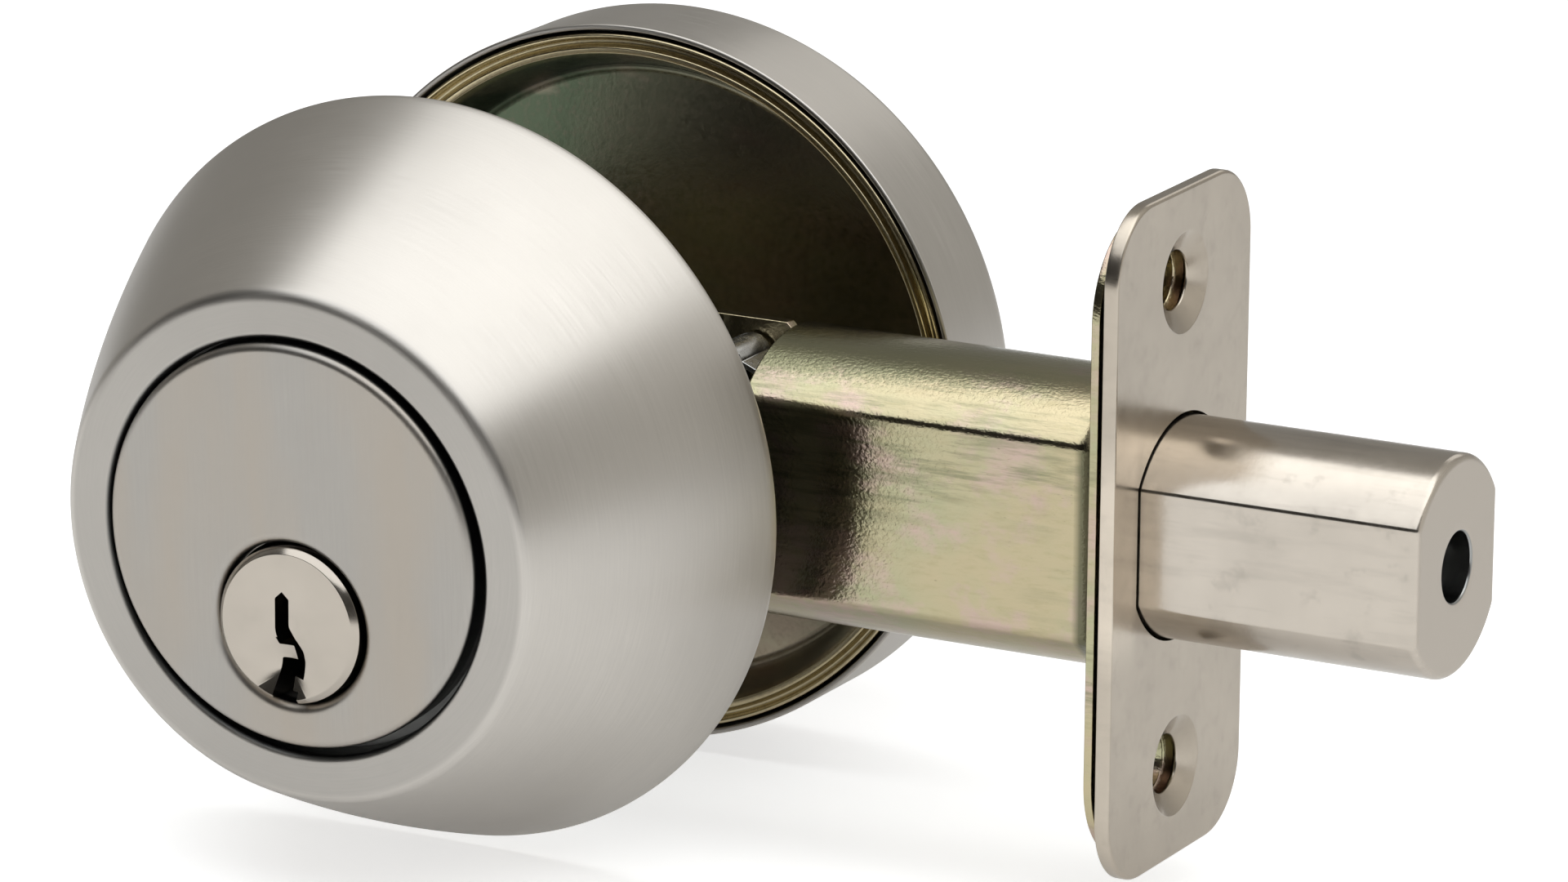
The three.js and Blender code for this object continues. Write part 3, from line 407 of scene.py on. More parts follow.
def block(x, y, z):
    """A block between pairs of places, used to join or cut."""
    outline = [(y[0], z[0]), (y[1], z[0]), (y[1], z[1]), (y[0], z[1])]
    return lofted("block", [(x[0], outline), (x[1], outline)], "X")


def bevel(piece, width):
    """Breaks a piece's sharp edges."""
    made = piece.modifiers.new("edges", "BEVEL")
    made.width = width
    made.segments = 2
    made.limit_method = "ANGLE"
    made.angle_limit = BEVEL_FROM
    keep_result(piece)


def complete(piece, body, slot, finish, *nodes):
    """Shades a piece, gives it its metal, and sets it in the frame in place of its CAD nodes."""
    mesh = piece.data
    mesh.materials.clear()
    mesh.materials.append(metal(finish))
    mesh.polygons.foreach_set("material_index", [0] * len(mesh.polygons))
    mesh.polygons.foreach_set("use_smooth", [True] * len(mesh.polygons))
    mesh.set_sharp_from_angle(angle=SHARP)
    even = piece.modifiers.new("even_shading", "WEIGHTED_NORMAL")
    even.keep_sharp = True
    even.weight = 100
    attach(piece, body)
    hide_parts(*nodes)
    return piece


def refine(node, body, slot, edge, finish=None):
    """A finished piece from a CAD node whose shape is right: edges broken, curves shaded smooth.

    Its metal is the one named as its slot, unless another finish is given.
    """
    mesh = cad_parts[node].data.copy()
    piece = link_piece(f"{node}_finished", mesh)
    welded = bmesh.new()
    welded.from_mesh(mesh)
    bmesh.ops.remove_doubles(welded, verts=welded.verts, dist=TINY)
    bmesh.ops.dissolve_limit(welded, angle_limit=FLAT, verts=welded.verts, edges=welded.edges)
    if "custom_normal" in mesh.attributes:
        mesh.attributes.remove(mesh.attributes["custom_normal"])
    welded.to_mesh(mesh)
    welded.free()
    if edge:
        bevel(piece, edge)
    return complete(piece, body, slot, finish or slot, node)


# ---- Shader helpers ----


def add_node(tree, kind, inputs=None, **settings):
    """Adds a shader node; each input is a value, or the socket that feeds it."""
    made = tree.nodes.new(kind)
    for key, value in settings.items():
        setattr(made, key, value)
    for key, value in (inputs or {}).items():
        if isinstance(value, bpy.types.NodeSocket):
            tree.links.new(value, made.inputs[key])
        else:
            made.inputs[key].default_value = value
    return made


def maths(tree, operation, a, b=0.0):
    """The result of a Math node."""
    return add_node(tree, "ShaderNodeMath", {0: a, 1: b}, operation=operation).outputs[0]


def vector_maths(tree, operation, a, b=(0.0, 0.0, 0.0)):
    """The result of a Vector Math node: a number for a length or a dot product."""
    second = "Scale" if operation == "SCALE" else 1
    made = add_node(tree, "ShaderNodeVectorMath", {0: a, second: b}, operation=operation)
    return made.outputs["Value" if operation in ("LENGTH", "DOT_PRODUCT") else "Vector"]


def noise(tree, vector, scale, detail=2.0, roughness=0.5):
    """A noise pattern between 0 and 1."""
    return add_node(tree, "ShaderNodeTexNoise", {
        "Vector": vector, "Scale": scale, "Detail": detail, "Roughness": roughness}).outputs["Fac"]


def spread(tree, value, to_low, to_high, from_low=0.3, from_high=0.7):
    """Stretches a pattern to a new range."""
    return add_node(tree, "ShaderNodeMapRange", {
        "Value": value, "From Min": from_low, "From Max": from_high,
        "To Min": to_low, "To Max": to_high}).outputs["Result"]


def mix(tree, factor, a, b):
    """Mixes two colours."""
    def rgba(c):
        return c if isinstance(c, bpy.types.NodeSocket) else (*c, 1.0)
    made = add_node(tree, "ShaderNodeMix", {0: factor, 6: rgba(a), 7: rgba(b)}, data_type="RGBA")
    return made.outputs[2]


def mix_number(tree, factor, a, b):
    """Mixes two numbers."""
    return add_node(tree, "ShaderNodeMix", {0: factor, 2: a, 3: b}).outputs[0]


def lay(tree, base, over, pattern, most, start, end):
    """Lays a colour over the base as a pattern rises from start to end, up to a share."""
    return mix(tree, spread(tree, pattern, 0, most, start, end), base, over)


def place(tree):
    """Coordinates in the lock's own frame, in metres."""
    return add_node(tree, "ShaderNodeTexCoord").outputs["Object"]


def facing(tree):
    """The way the surface faces, in the lock's own frame."""
    return add_node(tree, "ShaderNodeTexCoord").outputs["Normal"]


def parts(tree, vector):
    """The three numbers in a vector."""
    return add_node(tree, "ShaderNodeSeparateXYZ", {0: vector}).outputs


def stretched(tree, scales):
    """Coordinates stretched differently along each axis."""
    return vector_maths(tree, "MULTIPLY", place(tree), scales)


def round_grain(tree):
    """Coordinates that draw a pattern out round the Y axis, as turning and polishing leave it."""
    around, across, along = 5.0, 5200.0, 0.7
    spot = place(tree)
    flat = vector_maths(tree, "MULTIPLY", spot, (1, 0, 1))
    line = maths(tree, "ADD", vector_maths(tree, "LENGTH", flat),
                 maths(tree, "MULTIPLY", parts(tree, spot)[1], along))
    fine = add_node(tree, "ShaderNodeCombineXYZ", {1: maths(tree, "MULTIPLY", line, across)})
    wide = vector_maths(tree, "SCALE", vector_maths(tree, "NORMALIZE", flat), around)
    return vector_maths(tree, "ADD", wide, fine.outputs[0])


def upright_grain(tree):
    """Coordinates that draw a pattern out up the cylinder's face."""
    return stretched(tree, (5200.0, 900.0, 160.0))


def bump(tree, height, distance, strength=1.0):
    """Turns a pattern into a relief of that depth."""
    return add_node(tree, "ShaderNodeBump", {
        "Height": height, "Distance": distance, "Strength": strength}).outputs["Normal"]


def new_metal(name):
    """A metal material, with its node tree and its surface shader."""
    material = bpy.data.materials.new(name)
    material.use_nodes = True
    surface = material.node_tree.nodes["Principled BSDF"]
    surface.inputs["Metallic"].default_value = 1.0
    return material, material.node_tree, surface


def dress(tree, surface, base, roughness=None, normal=None):
    """Feeds the shader its colour and, where given, its roughness and relief."""
    for key, value in (("Base Color", base), ("Roughness", roughness), ("Normal", normal)):
        if value is not None:
            tree.links.new(value, surface.inputs[key])


def worn(surface, key):
    """What already feeds one of the shader's sockets."""
    return surface.inputs[key].links[0].from_socket


def tint(base, factor):
    """A colour made lighter or darker."""
    return tuple(min(1.0, c * factor) for c in base)


# ---- Metal finishes ----


def satin_metal(name, finishes, grain, shade=1.0):
    """Satin nickel: fine polishing lines, drawn out along the grain coordinates."""
    material, tree, surface = new_metal(name)
    # A shade under 1 is painted shade: it darkens the whole nickel.
    nickel = tint(finishes.satin, shade)
    fine = noise(tree, grain(tree), 1.0, 3.0, 0.6)
    clouds = noise(tree, place(tree), 110.0, 3.0, 0.5)
    base = mix(tree, spread(tree, fine, 0, 1), tint(nickel, 0.95), tint(nickel, 1.05))
    base = lay(tree, base, tint(nickel, 0.93), clouds, 0.6, 0.3, 0.7)
    rough = maths(tree, "ADD", spread(tree, fine, -0.04, 0.04), finishes.satin_roughness)
    dress(tree, surface, base, rough, bump(tree, fine, 4e-6, 0.6))
    return material, tree, surface


def turned_satin(finishes):
    """Satin nickel whose polish runs round the lock's axis.

    The collar's front ring is darkened as painted shade, and the collar's inside is painted dark
    as shade, darkest at the opening's bore.
    """
    material, tree, surface = satin_metal("satin_nickel_turned", finishes, round_grain)
    front, back = low("collar").y, high("collar").y
    way = facing(tree)
    # Painted shade: surfaces facing straight out to the front, the collar's front ring, are
    # darkened to 0.8.
    ring = spread(tree, parts(tree, way)[1], 0.8, 1.0, -0.99, -0.9)
    shaded = vector_maths(tree, "SCALE", worn(surface, "Base Color"), ring)
    # Painted shade: surfaces inside the collar that face its axis are painted dark, with the
    # casting tone at 0.3 near the opening and the satin nickel at 0.8 further back.
    outward = vector_maths(tree, "DOT_PRODUCT", way, stretched(tree, (1, 0, 1)))
    depth = parts(tree, place(tree))[1]
    inside = maths(tree, "MULTIPLY", spread(tree, outward, 1, 0, -0.012, -0.004),
                   maths(tree, "LESS_THAN", depth, back + 0.001))
    raw_and_shade = mix(tree, spread(tree, depth, 0, 1, front + 0.003, front + 0.005),
              tint(finishes.casting, 0.3), tint(finishes.satin, 0.8))
    dress(tree, surface, mix(tree, inside, shaded, raw_and_shade))
    surface.inputs["Anisotropic"].default_value = 0.45
    surface.inputs["Anisotropic Rotation"].default_value = 0.25
    tangent = add_node(tree, "ShaderNodeTangent", direction_type="RADIAL", axis="Y")
    tree.links.new(tangent.outputs[0], surface.inputs["Tangent"])
    return material


def upright_satin(finishes):
    """Satin nickel whose polish runs in upright lines on the cylinder's face.

    The disc's nickel and its warm upright bands are darkened as painted shade, its edge and other
    sideways walls are painted dark as shade, and behind it the casting is left bare.
    """
    # Painted shade: the disc's nickel is the satin nickel darkened to this share.
    shade = 0.74
    material, tree, surface = satin_metal("satin_nickel_upright", finishes, upright_grain, shade)
    front = low("collar").y
    depth = parts(tree, place(tree))[1]
    behind = spread(tree, depth, 0, 1, front + 0.0018, front + 0.0021)
    patches = noise(tree, place(tree), 700.0, 4.0, 0.6)
    raw_and_shade = mix(tree, patches, tint(finishes.casting, 0.8), tint(finishes.casting, 1.3))
    bands = noise(tree, stretched(tree, (1.0, 1.0, 0.18)), 120.0, 3.0, 0.5)
    base = lay(tree, worn(surface, "Base Color"), tint(finishes.satin_warm, shade),
               bands, 0.8, 0.4, 0.6)
    # Painted shade: walls facing sideways, such as the disc's edge and the bores, are painted near
    # black.
    base = lay(tree, base, tint(finishes.casting, 0.25), parts(tree, facing(tree))[1],
               1, -0.6, -0.25)
    dulled = mix_number(tree, behind, worn(surface, "Roughness"), 0.6)
    dress(tree, surface, mix(tree, behind, base, raw_and_shade), dulled)
    return material


def bright_metal(name, finishes, nickel, pits, marks, extra_roughness=0.0):
    """Bright nickel: slightly pitted, with faint handling marks and streaks along the part."""
    material, tree, surface = new_metal(name)
    fine = noise(tree, place(tree), 2600.0, 3.0, 0.6)
    wide = noise(tree, place(tree), 130.0, 4.0, 0.55)
    patches = noise(tree, place(tree), 420.0, 3.0, 0.6)
    streaks = noise(tree, stretched(tree, (0.12, 1.0, 1.0)), 620.0, 4.0, 0.6)
    base = mix(tree, spread(tree, wide, 0, 1), tint(nickel, 0.94), tint(nickel, 1.05))
    base = lay(tree, base, tint(nickel, 0.7), streaks, marks, 0.52, 0.72)
    base = lay(tree, base, tint(nickel, 0.68), patches, marks, 0.6, 0.74)
    rough = maths(tree, "ADD", spread(tree, patches, -0.03, 0.05),
                  finishes.bright_roughness + extra_roughness)
    relief = maths(tree, "ADD", fine, maths(tree, "MULTIPLY", patches, 2.0))
    dress(tree, surface, base, rough, bump(tree, relief, pits))
    return material, tree, surface


def plug_metal(finishes):
    """Bright nickel on the plug, darkened to 0.88 as painted shade, with few marks."""
    # Painted shade: a darker copy of the bolt's bright nickel.
    nickel = tint(finishes.bright, 0.88)
    return bright_metal("bright_nickel_plug", finishes, nickel, 2e-6, 0.1)[0]


def plate_metal(finishes):
    """Warm bright nickel on the faceplate, with a painted reflection of the bolt lightening it
    beside the bolt's way.
    """
    material, tree, surface = bright_metal(
        "bright_nickel_plate", finishes, finishes.plate, 2e-6, 0.25, 0.04)
    # Painted reflection: on the plate's -Y side of the bolt's way, within about 6 to 10.5 mm of
    # the axis height, the nickel is lightened up to 1.3 times, standing in for the bolt's shine.
    bolt_reflection_width = 0.0012
    _, side, height = parts(tree, place(tree))
    beside = spread(tree, side, 1, 0, low("bolt").y - bolt_reflection_width, low("bolt").y)
    level = spread(tree, maths(tree, "ABSOLUTE", height), 1, 0, 0.006, 0.0105)
    painted_bolt_reflection = spread(tree, maths(tree, "MULTIPLY", beside, level), 1.0, 1.3, 0, 1)
    dress(tree, surface, vector_maths(tree, "SCALE", worn(surface, "Base Color"), painted_bolt_reflection))
    return material


def bolt_metal(finishes):
    """Bright nickel along the bolt, faced dull across its tip and steel grey in its bore."""
    material, tree, surface = bright_metal(
        "bright_nickel_bolt", finishes, finishes.bright, 3e-6, 0.4, 0.02)
    bore = 0.0031
    tip = high("bolt").x
    along, *across = parts(tree, place(tree))
    faced = spread(tree, along, 0, 1, tip - 0.0002, tip - 0.00005)
    radius = maths(tree, "SQRT", maths(
        tree, "ADD", *(maths(tree, "MULTIPLY", part, part) for part in across)))
    coat = mix(tree, faced, worn(surface, "Base Color"), finishes.bright)
    coat = mix(tree, maths(tree, "LESS_THAN", radius, bore), coat, tint(finishes.steel, 0.8))
    dress(tree, surface, coat, mix_number(tree, faced, worn(surface, "Roughness"), 0.4))
    return material


def zinc_metal(name, finishes, tube=False):
    """Yellow zinc plate: gold, with green, pink and olive clouds, scratches and a fine peel.

    On the tube, its crown is painted dark as a reflection of the dark room, and its foot at the
    backplate is painted dark as shade.
    """
    material, tree, surface = new_metal(name)
    wide = noise(tree, stretched(tree, (0.7, 1.0, 1.0)), 95.0, 4.0, 0.55)
    middle = noise(tree, stretched(tree, (0.8, 1.0, 1.0)), 170.0, 5.0, 0.62)
    streaks = noise(tree, stretched(tree, (0.25, 1.0, 1.0)), 1500.0, 4.0, 0.7)
    peel = noise(tree, stretched(tree, (0.7, 1.0, 1.0)), 3600.0, 3.0, 0.6)
    rubbed = noise(tree, stretched(tree, (0.5, 1.0, 1.0)), 75.0, 3.0, 0.5)
    scratches = noise(tree, stretched(tree, (0.1, 1.0, 1.0)), 1100.0, 4.0, 0.7)
    base = lay(tree, finishes.zinc, finishes.zinc_green, wide, 0.9, 0.44, 0.62)
    base = lay(tree, base, finishes.zinc_pink, middle, 0.9, 0.5, 0.62)
    base = lay(tree, base, finishes.zinc_olive, streaks, 0.3, 0.5, 0.7)
    scratched = maths(tree, "MULTIPLY", spread(tree, rubbed, 0, 1, 0.46, 0.6),
                      spread(tree, scratches, 0, 0.75, 0.47, 0.62))
    base = mix(tree, scratched, base, finishes.zinc_scratch_and_shade)
    # Painted reflection: along the tube's crown the coat is painted dark, fading towards the
    # backplate, for the dark room it mirrors.
    if tube:
        along, _, height = parts(tree, place(tree))
        start, end = low("bolt_housing").x, high("bolt_housing").x
        crown, crown_fade = high("bolt_housing").z - 0.0016, 0.0009
        ragged = maths(tree, "ADD", height, spread(tree, peel, -0.0004, 0.0004))
        ragged = maths(tree, "ADD", ragged, spread(tree, along, 0.0011, -0.0004, start, end))
        above = maths(tree, "MULTIPLY", spread(tree, ragged, 0, 0.92, crown, crown + crown_fade),
                      spread(tree, along, 1.0, 0.45, start + 0.012, end))
        base = mix(tree, above, base, finishes.zinc_scratch_and_shade)
        # Painted shade: the tube is painted dark below its crown just before the backplate, where
        # the two meet.
        foot = maths(tree, "MULTIPLY", spread(tree, along, 0, 0.9, end - 0.0025, end - 0.0018),
                     spread(tree, height, 1, 0, 0.0078, 0.0092))
        base = mix(tree, foot, base, tint(finishes.zinc_scratch_and_shade, 0.5))
    rough = maths(tree, "ADD", spread(tree, streaks, -0.03, 0.05), finishes.zinc_roughness)
    dress(tree, surface, base, rough, bump(tree, peel, 3.4e-5))
    return material


def dark_zinc_metal(finishes):
    """Zinc on the mounting plate: painted shade in dark teal at the upper left, painted light
    towards the right, and a painted highlight on its gold rim.
    """
    material, tree, surface = new_metal("yellow_zinc_dark")
    spot = place(tree)
    across, depth, height = parts(tree, spot)
    wide = noise(tree, stretched(tree, (0.7, 1.0, 1.5)), 42.0, 3.0, 0.5)
    middle = noise(tree, stretched(tree, (0.6, 1.0, 1.8)), 95.0, 4.0, 0.6)
    mottle = noise(tree, spot, 1300.0, 3.0, 0.7)
    # Painted light and shade: the plate runs from near-black teal at its upper left to the lighter
    # zinc at its right.
    slant = maths(tree, "SUBTRACT", across, maths(tree, "MULTIPLY", height, 0.5))
    drift = maths(tree, "ADD", slant, spread(tree, wide, -0.006, 0.006))
    base = lay(tree, finishes.dark_zinc_teal_and_shade, finishes.dark_zinc, drift, 1, -0.022, 0.004)
    base = lay(tree, base, finishes.dark_zinc_teal_and_shade, wide, 0.5, 0.45, 0.62)
    base = lay(tree, base, finishes.dark_zinc_brown, middle, 0.6, 0.5, 0.62)
    # Painted highlight: the rim at the plate's front shows the yellow zinc, lifted 1.2 times.
    crest = low("mounting_plate").y
    rim = spread(tree, depth, 1, 0, crest + 0.0008, crest + 0.0014)
    base = mix(tree, rim, base, tint(finishes.zinc, 1.2))
    base = lay(tree, base, tint(finishes.dark_zinc_brown, 0.6), mottle, 0.3, 0.5, 0.7)
    rough = maths(tree, "ADD", spread(tree, mottle, -0.03, 0.05), finishes.zinc_roughness + 0.09)
    relief = maths(tree, "ADD", noise(tree, spot, 2400.0, 2.0, 0.6), mottle)
    dress(tree, surface, base, rough, bump(tree, relief, 6e-6))
    return material


def plain_metal(name, base, roughness, scale=1500.0, grain=3e-6):
    """A mill-finished metal: cloudy, with a fine grain."""
    material, tree, surface = new_metal(name)
    fine = noise(tree, place(tree), scale, 3.0, 0.6)
    wide = noise(tree, place(tree), scale / 9, 3.0, 0.5)
    tone = mix(tree, spread(tree, wide, 0, 1), tint(base, 0.85), tint(base, 1.1))
    rough = maths(tree, "ADD", spread(tree, fine, -0.06, 0.06), roughness)
    dress(tree, surface, tone, rough, bump(tree, fine, grain))
    return material


METALS = {
    "turned_satin": turned_satin,
    "upright_satin": upright_satin,
    "bolt_nickel": bolt_metal,
    "plate_nickel": plate_metal,
    "plug_nickel": plug_metal,
    "yellow_zinc": lambda f: zinc_metal("yellow_zinc_plate", f),
    "tube_zinc": lambda f: zinc_metal("yellow_zinc_tube", f, tube=True),
    "dark_zinc": dark_zinc_metal,
    "steel": lambda f: plain_metal("steel_mill", f.steel, f.steel_roughness),
    # Painted shade: the guard ring behind the collar's rim is steel darkened to 0.9.
    "dark_steel": lambda f: plain_metal("steel_painted_shade", tint(f.steel, 0.9), 0.4),
    "hard_steel": lambda f: plain_metal("steel_hardened", tint(f.steel, 0.3), 0.45),
    "spring_steel": lambda f: plain_metal("steel_spring", tint(f.steel, 1.5), 0.24),
    "brass": lambda f: plain_metal("brass_turned", f.brass, 0.26),
    "zinc_casting": lambda f: plain_metal("zinc_cast", f.casting, 0.5, 900.0, 1e-5),
}
made_metals = {}


def metal(finish):
    """The lock's metals by name, each made once."""
    if finish not in made_metals:
        made_metals[finish] = METALS[finish](bpy.context.scene.lock_finishes)
    return made_metals[finish]


# ---- Stage ----

COOL_LIGHT = (0.95, 0.975, 1.0)
WARM_LIGHT = (1.0, 0.99, 0.97)
ROOM_LIGHT = (1.0, 0.975, 0.915, 1.0)
SOFTBOXES = (  # name, place, point it faces, width, depth, brightness, colour
    ("overhead_softbox", (0.36, -0.3, 1.0), (0.36, -0.3, 0.0), 1.76, 1.4, 1.72, COOL_LIGHT),
    ("side_softbox", (-0.6, -0.45, 1.0), (-0.6, -0.45, 0.0), 0.16, 1.1, 1.72, COOL_LIGHT),
    ("rear_softbox", (-0.02, 1.1, 0.64), (0.0, 0.0, 0.0), 0.6, 0.5, 0.65, WARM_LIGHT),
)
CAMERA_PLACE = Vector((0.3622, -0.6399, 0.2007))
CAMERA_AZIMUTH = math.radians(27.85)
CAMERA_ELEVATION = math.radians(15.34)
CAMERA_ROLL = math.radians(0.52)
CAMERA_LENS = 205.26  # in mm, on a sensor of CAMERA_SENSOR
CAMERA_SENSOR = 36.0


def floor_material(studio):
    """Pale floor that shows white, and still takes the lock's shadow."""
    material = bpy.data.materials.new("floor_paper")
    material.use_nodes = True
    tree = material.node_tree
    tree.nodes.clear()
    grain = noise(tree, place(tree), 40.0, 4.0)
    paper = mix(tree, grain, studio.floor, tint(studio.floor, 1.02))
    depth = parts(tree, place(tree))[1]
    # Painted shade: the floor is painted darker behind the lock, where the light would fall off.
    paper = lay(tree, paper, tint(studio.floor, studio.floor_back), depth, 1, -0.01, 0.02)
    lit = add_node(tree, "ShaderNodeBsdfDiffuse", {"Color": paper})
    path = add_node(tree, "ShaderNodeLightPath").outputs
    mirrored = maths(tree, "ADD", path["Is Glossy Ray"], path["Is Transmission Ray"])
    seen = maths(tree, "ADD", path["Is Camera Ray"],
                 maths(tree, "MULTIPLY", mirrored, studio.floor_mirrored))
    glow = add_node(tree, "ShaderNodeEmission", {
        "Color": (1, 1, 1, 1), "Strength": maths(tree, "MULTIPLY", seen, studio.floor_glow)})
    both = add_node(tree, "ShaderNodeAddShader", {0: lit.outputs[0], 1: glow.outputs[0]})
    add_node(tree, "ShaderNodeOutputMaterial", {"Surface": both.outputs[0]})
    return material


def softbox(name, location, target, width, depth, brightness, tone):
    """A rectangular lamp that faces a point and shines evenly."""
    lamp = bpy.data.lights.new(name, "AREA")
    lamp.shape = "RECTANGLE"
    lamp.size, lamp.size_y = width, depth
    lamp.energy = brightness * math.pi * width * depth
    lamp.color = tone
    thing = bpy.data.objects.new(name, lamp)
    thing.location = location
    thing.rotation_mode = "QUATERNION"
    thing.rotation_quaternion = (Vector(target) - thing.location).to_track_quat("-Z", "Y")
    bpy.context.scene.collection.objects.link(thing)


def room_light(studio):
    """A dim room, lighter towards the right and dark in front."""
    world = bpy.data.worlds.new("room")
    world.use_nodes = True
    tree = world.node_tree
    side, depth, _ = parts(tree, add_node(tree, "ShaderNodeTexCoord").outputs["Generated"])
    sides = spread(tree, side, studio.room_left, studio.room_right, -0.6, 0.5)
    front = spread(tree, depth, studio.room_front, 1.0, -0.35, 0.1)
    rear = spread(tree, depth, 1.0, studio.room_rear, 0.25, 0.85)
    strength = maths(tree, "MULTIPLY", maths(tree, "MULTIPLY", sides, front), rear)
    back = tree.nodes["Background"]
    back.inputs["Color"].default_value = ROOM_LIGHT
    tree.links.new(strength, back.inputs["Strength"])
    return world


def camera_turn():
    """The way the camera faces, as a matrix."""
    back = Vector((math.sin(CAMERA_AZIMUTH) * math.cos(CAMERA_ELEVATION),
                   -math.cos(CAMERA_AZIMUTH) * math.cos(CAMERA_ELEVATION),
                   math.sin(CAMERA_ELEVATION)))
    right = (-back).cross(Vector((0, 0, 1))).normalized()
    up = right.cross(-back)
    across = right * math.cos(CAMERA_ROLL) + up * math.sin(CAMERA_ROLL)
    upright = up * math.cos(CAMERA_ROLL) - right * math.sin(CAMERA_ROLL)
    return Matrix((across, upright, back)).transposed().to_4x4()


class DEADBOLT_OT_stage(bpy.types.Operator):
    """Sets the floor, the soft lamps, the room's light and the camera"""

    bl_idname = "deadbolt.stage"
    bl_label = "Stage"

    def execute(self, context):
        studio = context.scene.lock_studio
        down = Matrix.Translation((0, 0, CAD_BOX[0].z - studio.floor_drop))
        sheet = bmesh.new()
        bmesh.ops.create_circle(
            sheet, cap_ends=True, segments=64, radius=studio.floor_radius, matrix=down)
        mesh = bpy.data.meshes.new("floor")
        sheet.to_mesh(mesh)
        sheet.free()
        floor = link_piece("floor", mesh)
        floor.data.materials.append(floor_material(studio))

        for lamp in SOFTBOXES:
            softbox(*lamp)
        context.scene.world = room_light(studio)

        lens = bpy.data.cameras.new("camera")
        lens.lens = CAMERA_LENS
        lens.sensor_width = CAMERA_SENSOR
        lens.clip_start, lens.clip_end = 0.01, 50.0
        camera = bpy.data.objects.new("camera", lens)
        camera.matrix_world = Matrix.Translation(CAMERA_PLACE) @ camera_turn()
        context.scene.collection.objects.link(camera)
        context.scene.camera = camera
        context.scene.view_settings.view_transform = "Standard"
        return {"FINISHED"}


# ---- Exterior half ----

CONE_STEPS = 40  # stations along the collar's cone
FLANGE = 0.0022  # thickness of the flange that holds the disc behind the collar
EMBED = 0.0015  # how far the barrel, tower and webs start inside that flange
TOWER_HALF = 0.0046  # half the pin tower's width
TOWER_TOP = 0.013
CHAMBER_TOP = 0.014
CHAMBER_RADIUS = 0.00155
CHAMBER_FLOOR = 0.0006  # below the plug's axis
POST_RADIUS = 0.0037
POST_THREAD = 0.00225  # radius of the hole in each post
POST_THREAD_DEPTH = 0.015
WEB_HALF = 0.0015  # half the height of the webs that join the posts


def collar_profile(s):
    """Profile of the collar: bellied cone, rounded front ring, wall of even thickness."""
    front, back = low("collar").y, high("collar").y
    outer = high("collar").x + s.collar_spread
    flat_end = s.lip_radius - s.lip_round
    lip_angles = [math.radians(-90 + 60 * k / 8) for k in range(1, 9)]
    lip = arc(s.lip_round, lip_angles, flat_end, front + s.lip_round)
    start = lip[-1]
    run = back - s.collar_rim - start[1]

    def cone(part):
        rise = part * (1 + s.collar_bulge) - s.collar_bulge * part * part
        return (start[0] + (outer - start[0]) * rise, start[1] + run * part)

    ring = rounded([
        (s.opening_radius, front + s.collar_wall),
        (s.opening_radius, front, s.opening_round),
        (flat_end, front),
    ], steps=8)
    outside = [cone(k / CONE_STEPS) for k in range(1, CONE_STEPS + 1)]
    rim = rounded([
        (outer, back - s.collar_rim),
        (outer, back, s.collar_rim / 2),
        (outer - s.collar_wall, back, s.collar_rim / 2),
        (outer - s.collar_wall, back - s.collar_rim),
    ], steps=4)
    inside = [(cone(part)[0] - s.collar_wall, cone(part)[1]) for part in (0.8, 0.6, 0.4, 0.12)]
    return ring + lip + outside + rim[1:] + inside


def loose_seat(s):
    """How the collar and the cylinder's face hang without a door: nose down and askew."""
    pivot = Vector((0, (low("collar").y + high("collar").y) / 2, 0))
    lean = Matrix.Rotation(s.collar_swing, 4, "Z") @ Matrix.Rotation(s.collar_nod, 4, "X")
    slip = Matrix.Translation(pivot + Vector((s.collar_slip, 0, 0)))
    return slip @ lean @ Matrix.Translation(-pivot)


def hang_loose(piece, s):
    """Hangs the collar, or a piece that hangs with it, in that seat."""
    piece.data.transform(loose_seat(s))
    return piece


class DEADBOLT_OT_collar(bpy.types.Operator):
    """Turns the bellied collar and finishes the guard ring behind its rim"""

    bl_idname = "deadbolt.collar"
    bl_label = "Collar"

    def execute(self, context):
        s = context.scene.lock_sizes
        collar = hang_loose(turned("collar_shell", collar_profile(s), sides=SHELL_SIDES), s)
        complete(collar, "fixed_parts", "satin_nickel", "turned_satin", "collar")
        hang_loose(refine("guard_ring", "fixed_parts", "steel", STEEL_EDGE, "dark_steel"), s)
        return {"FINISHED"}


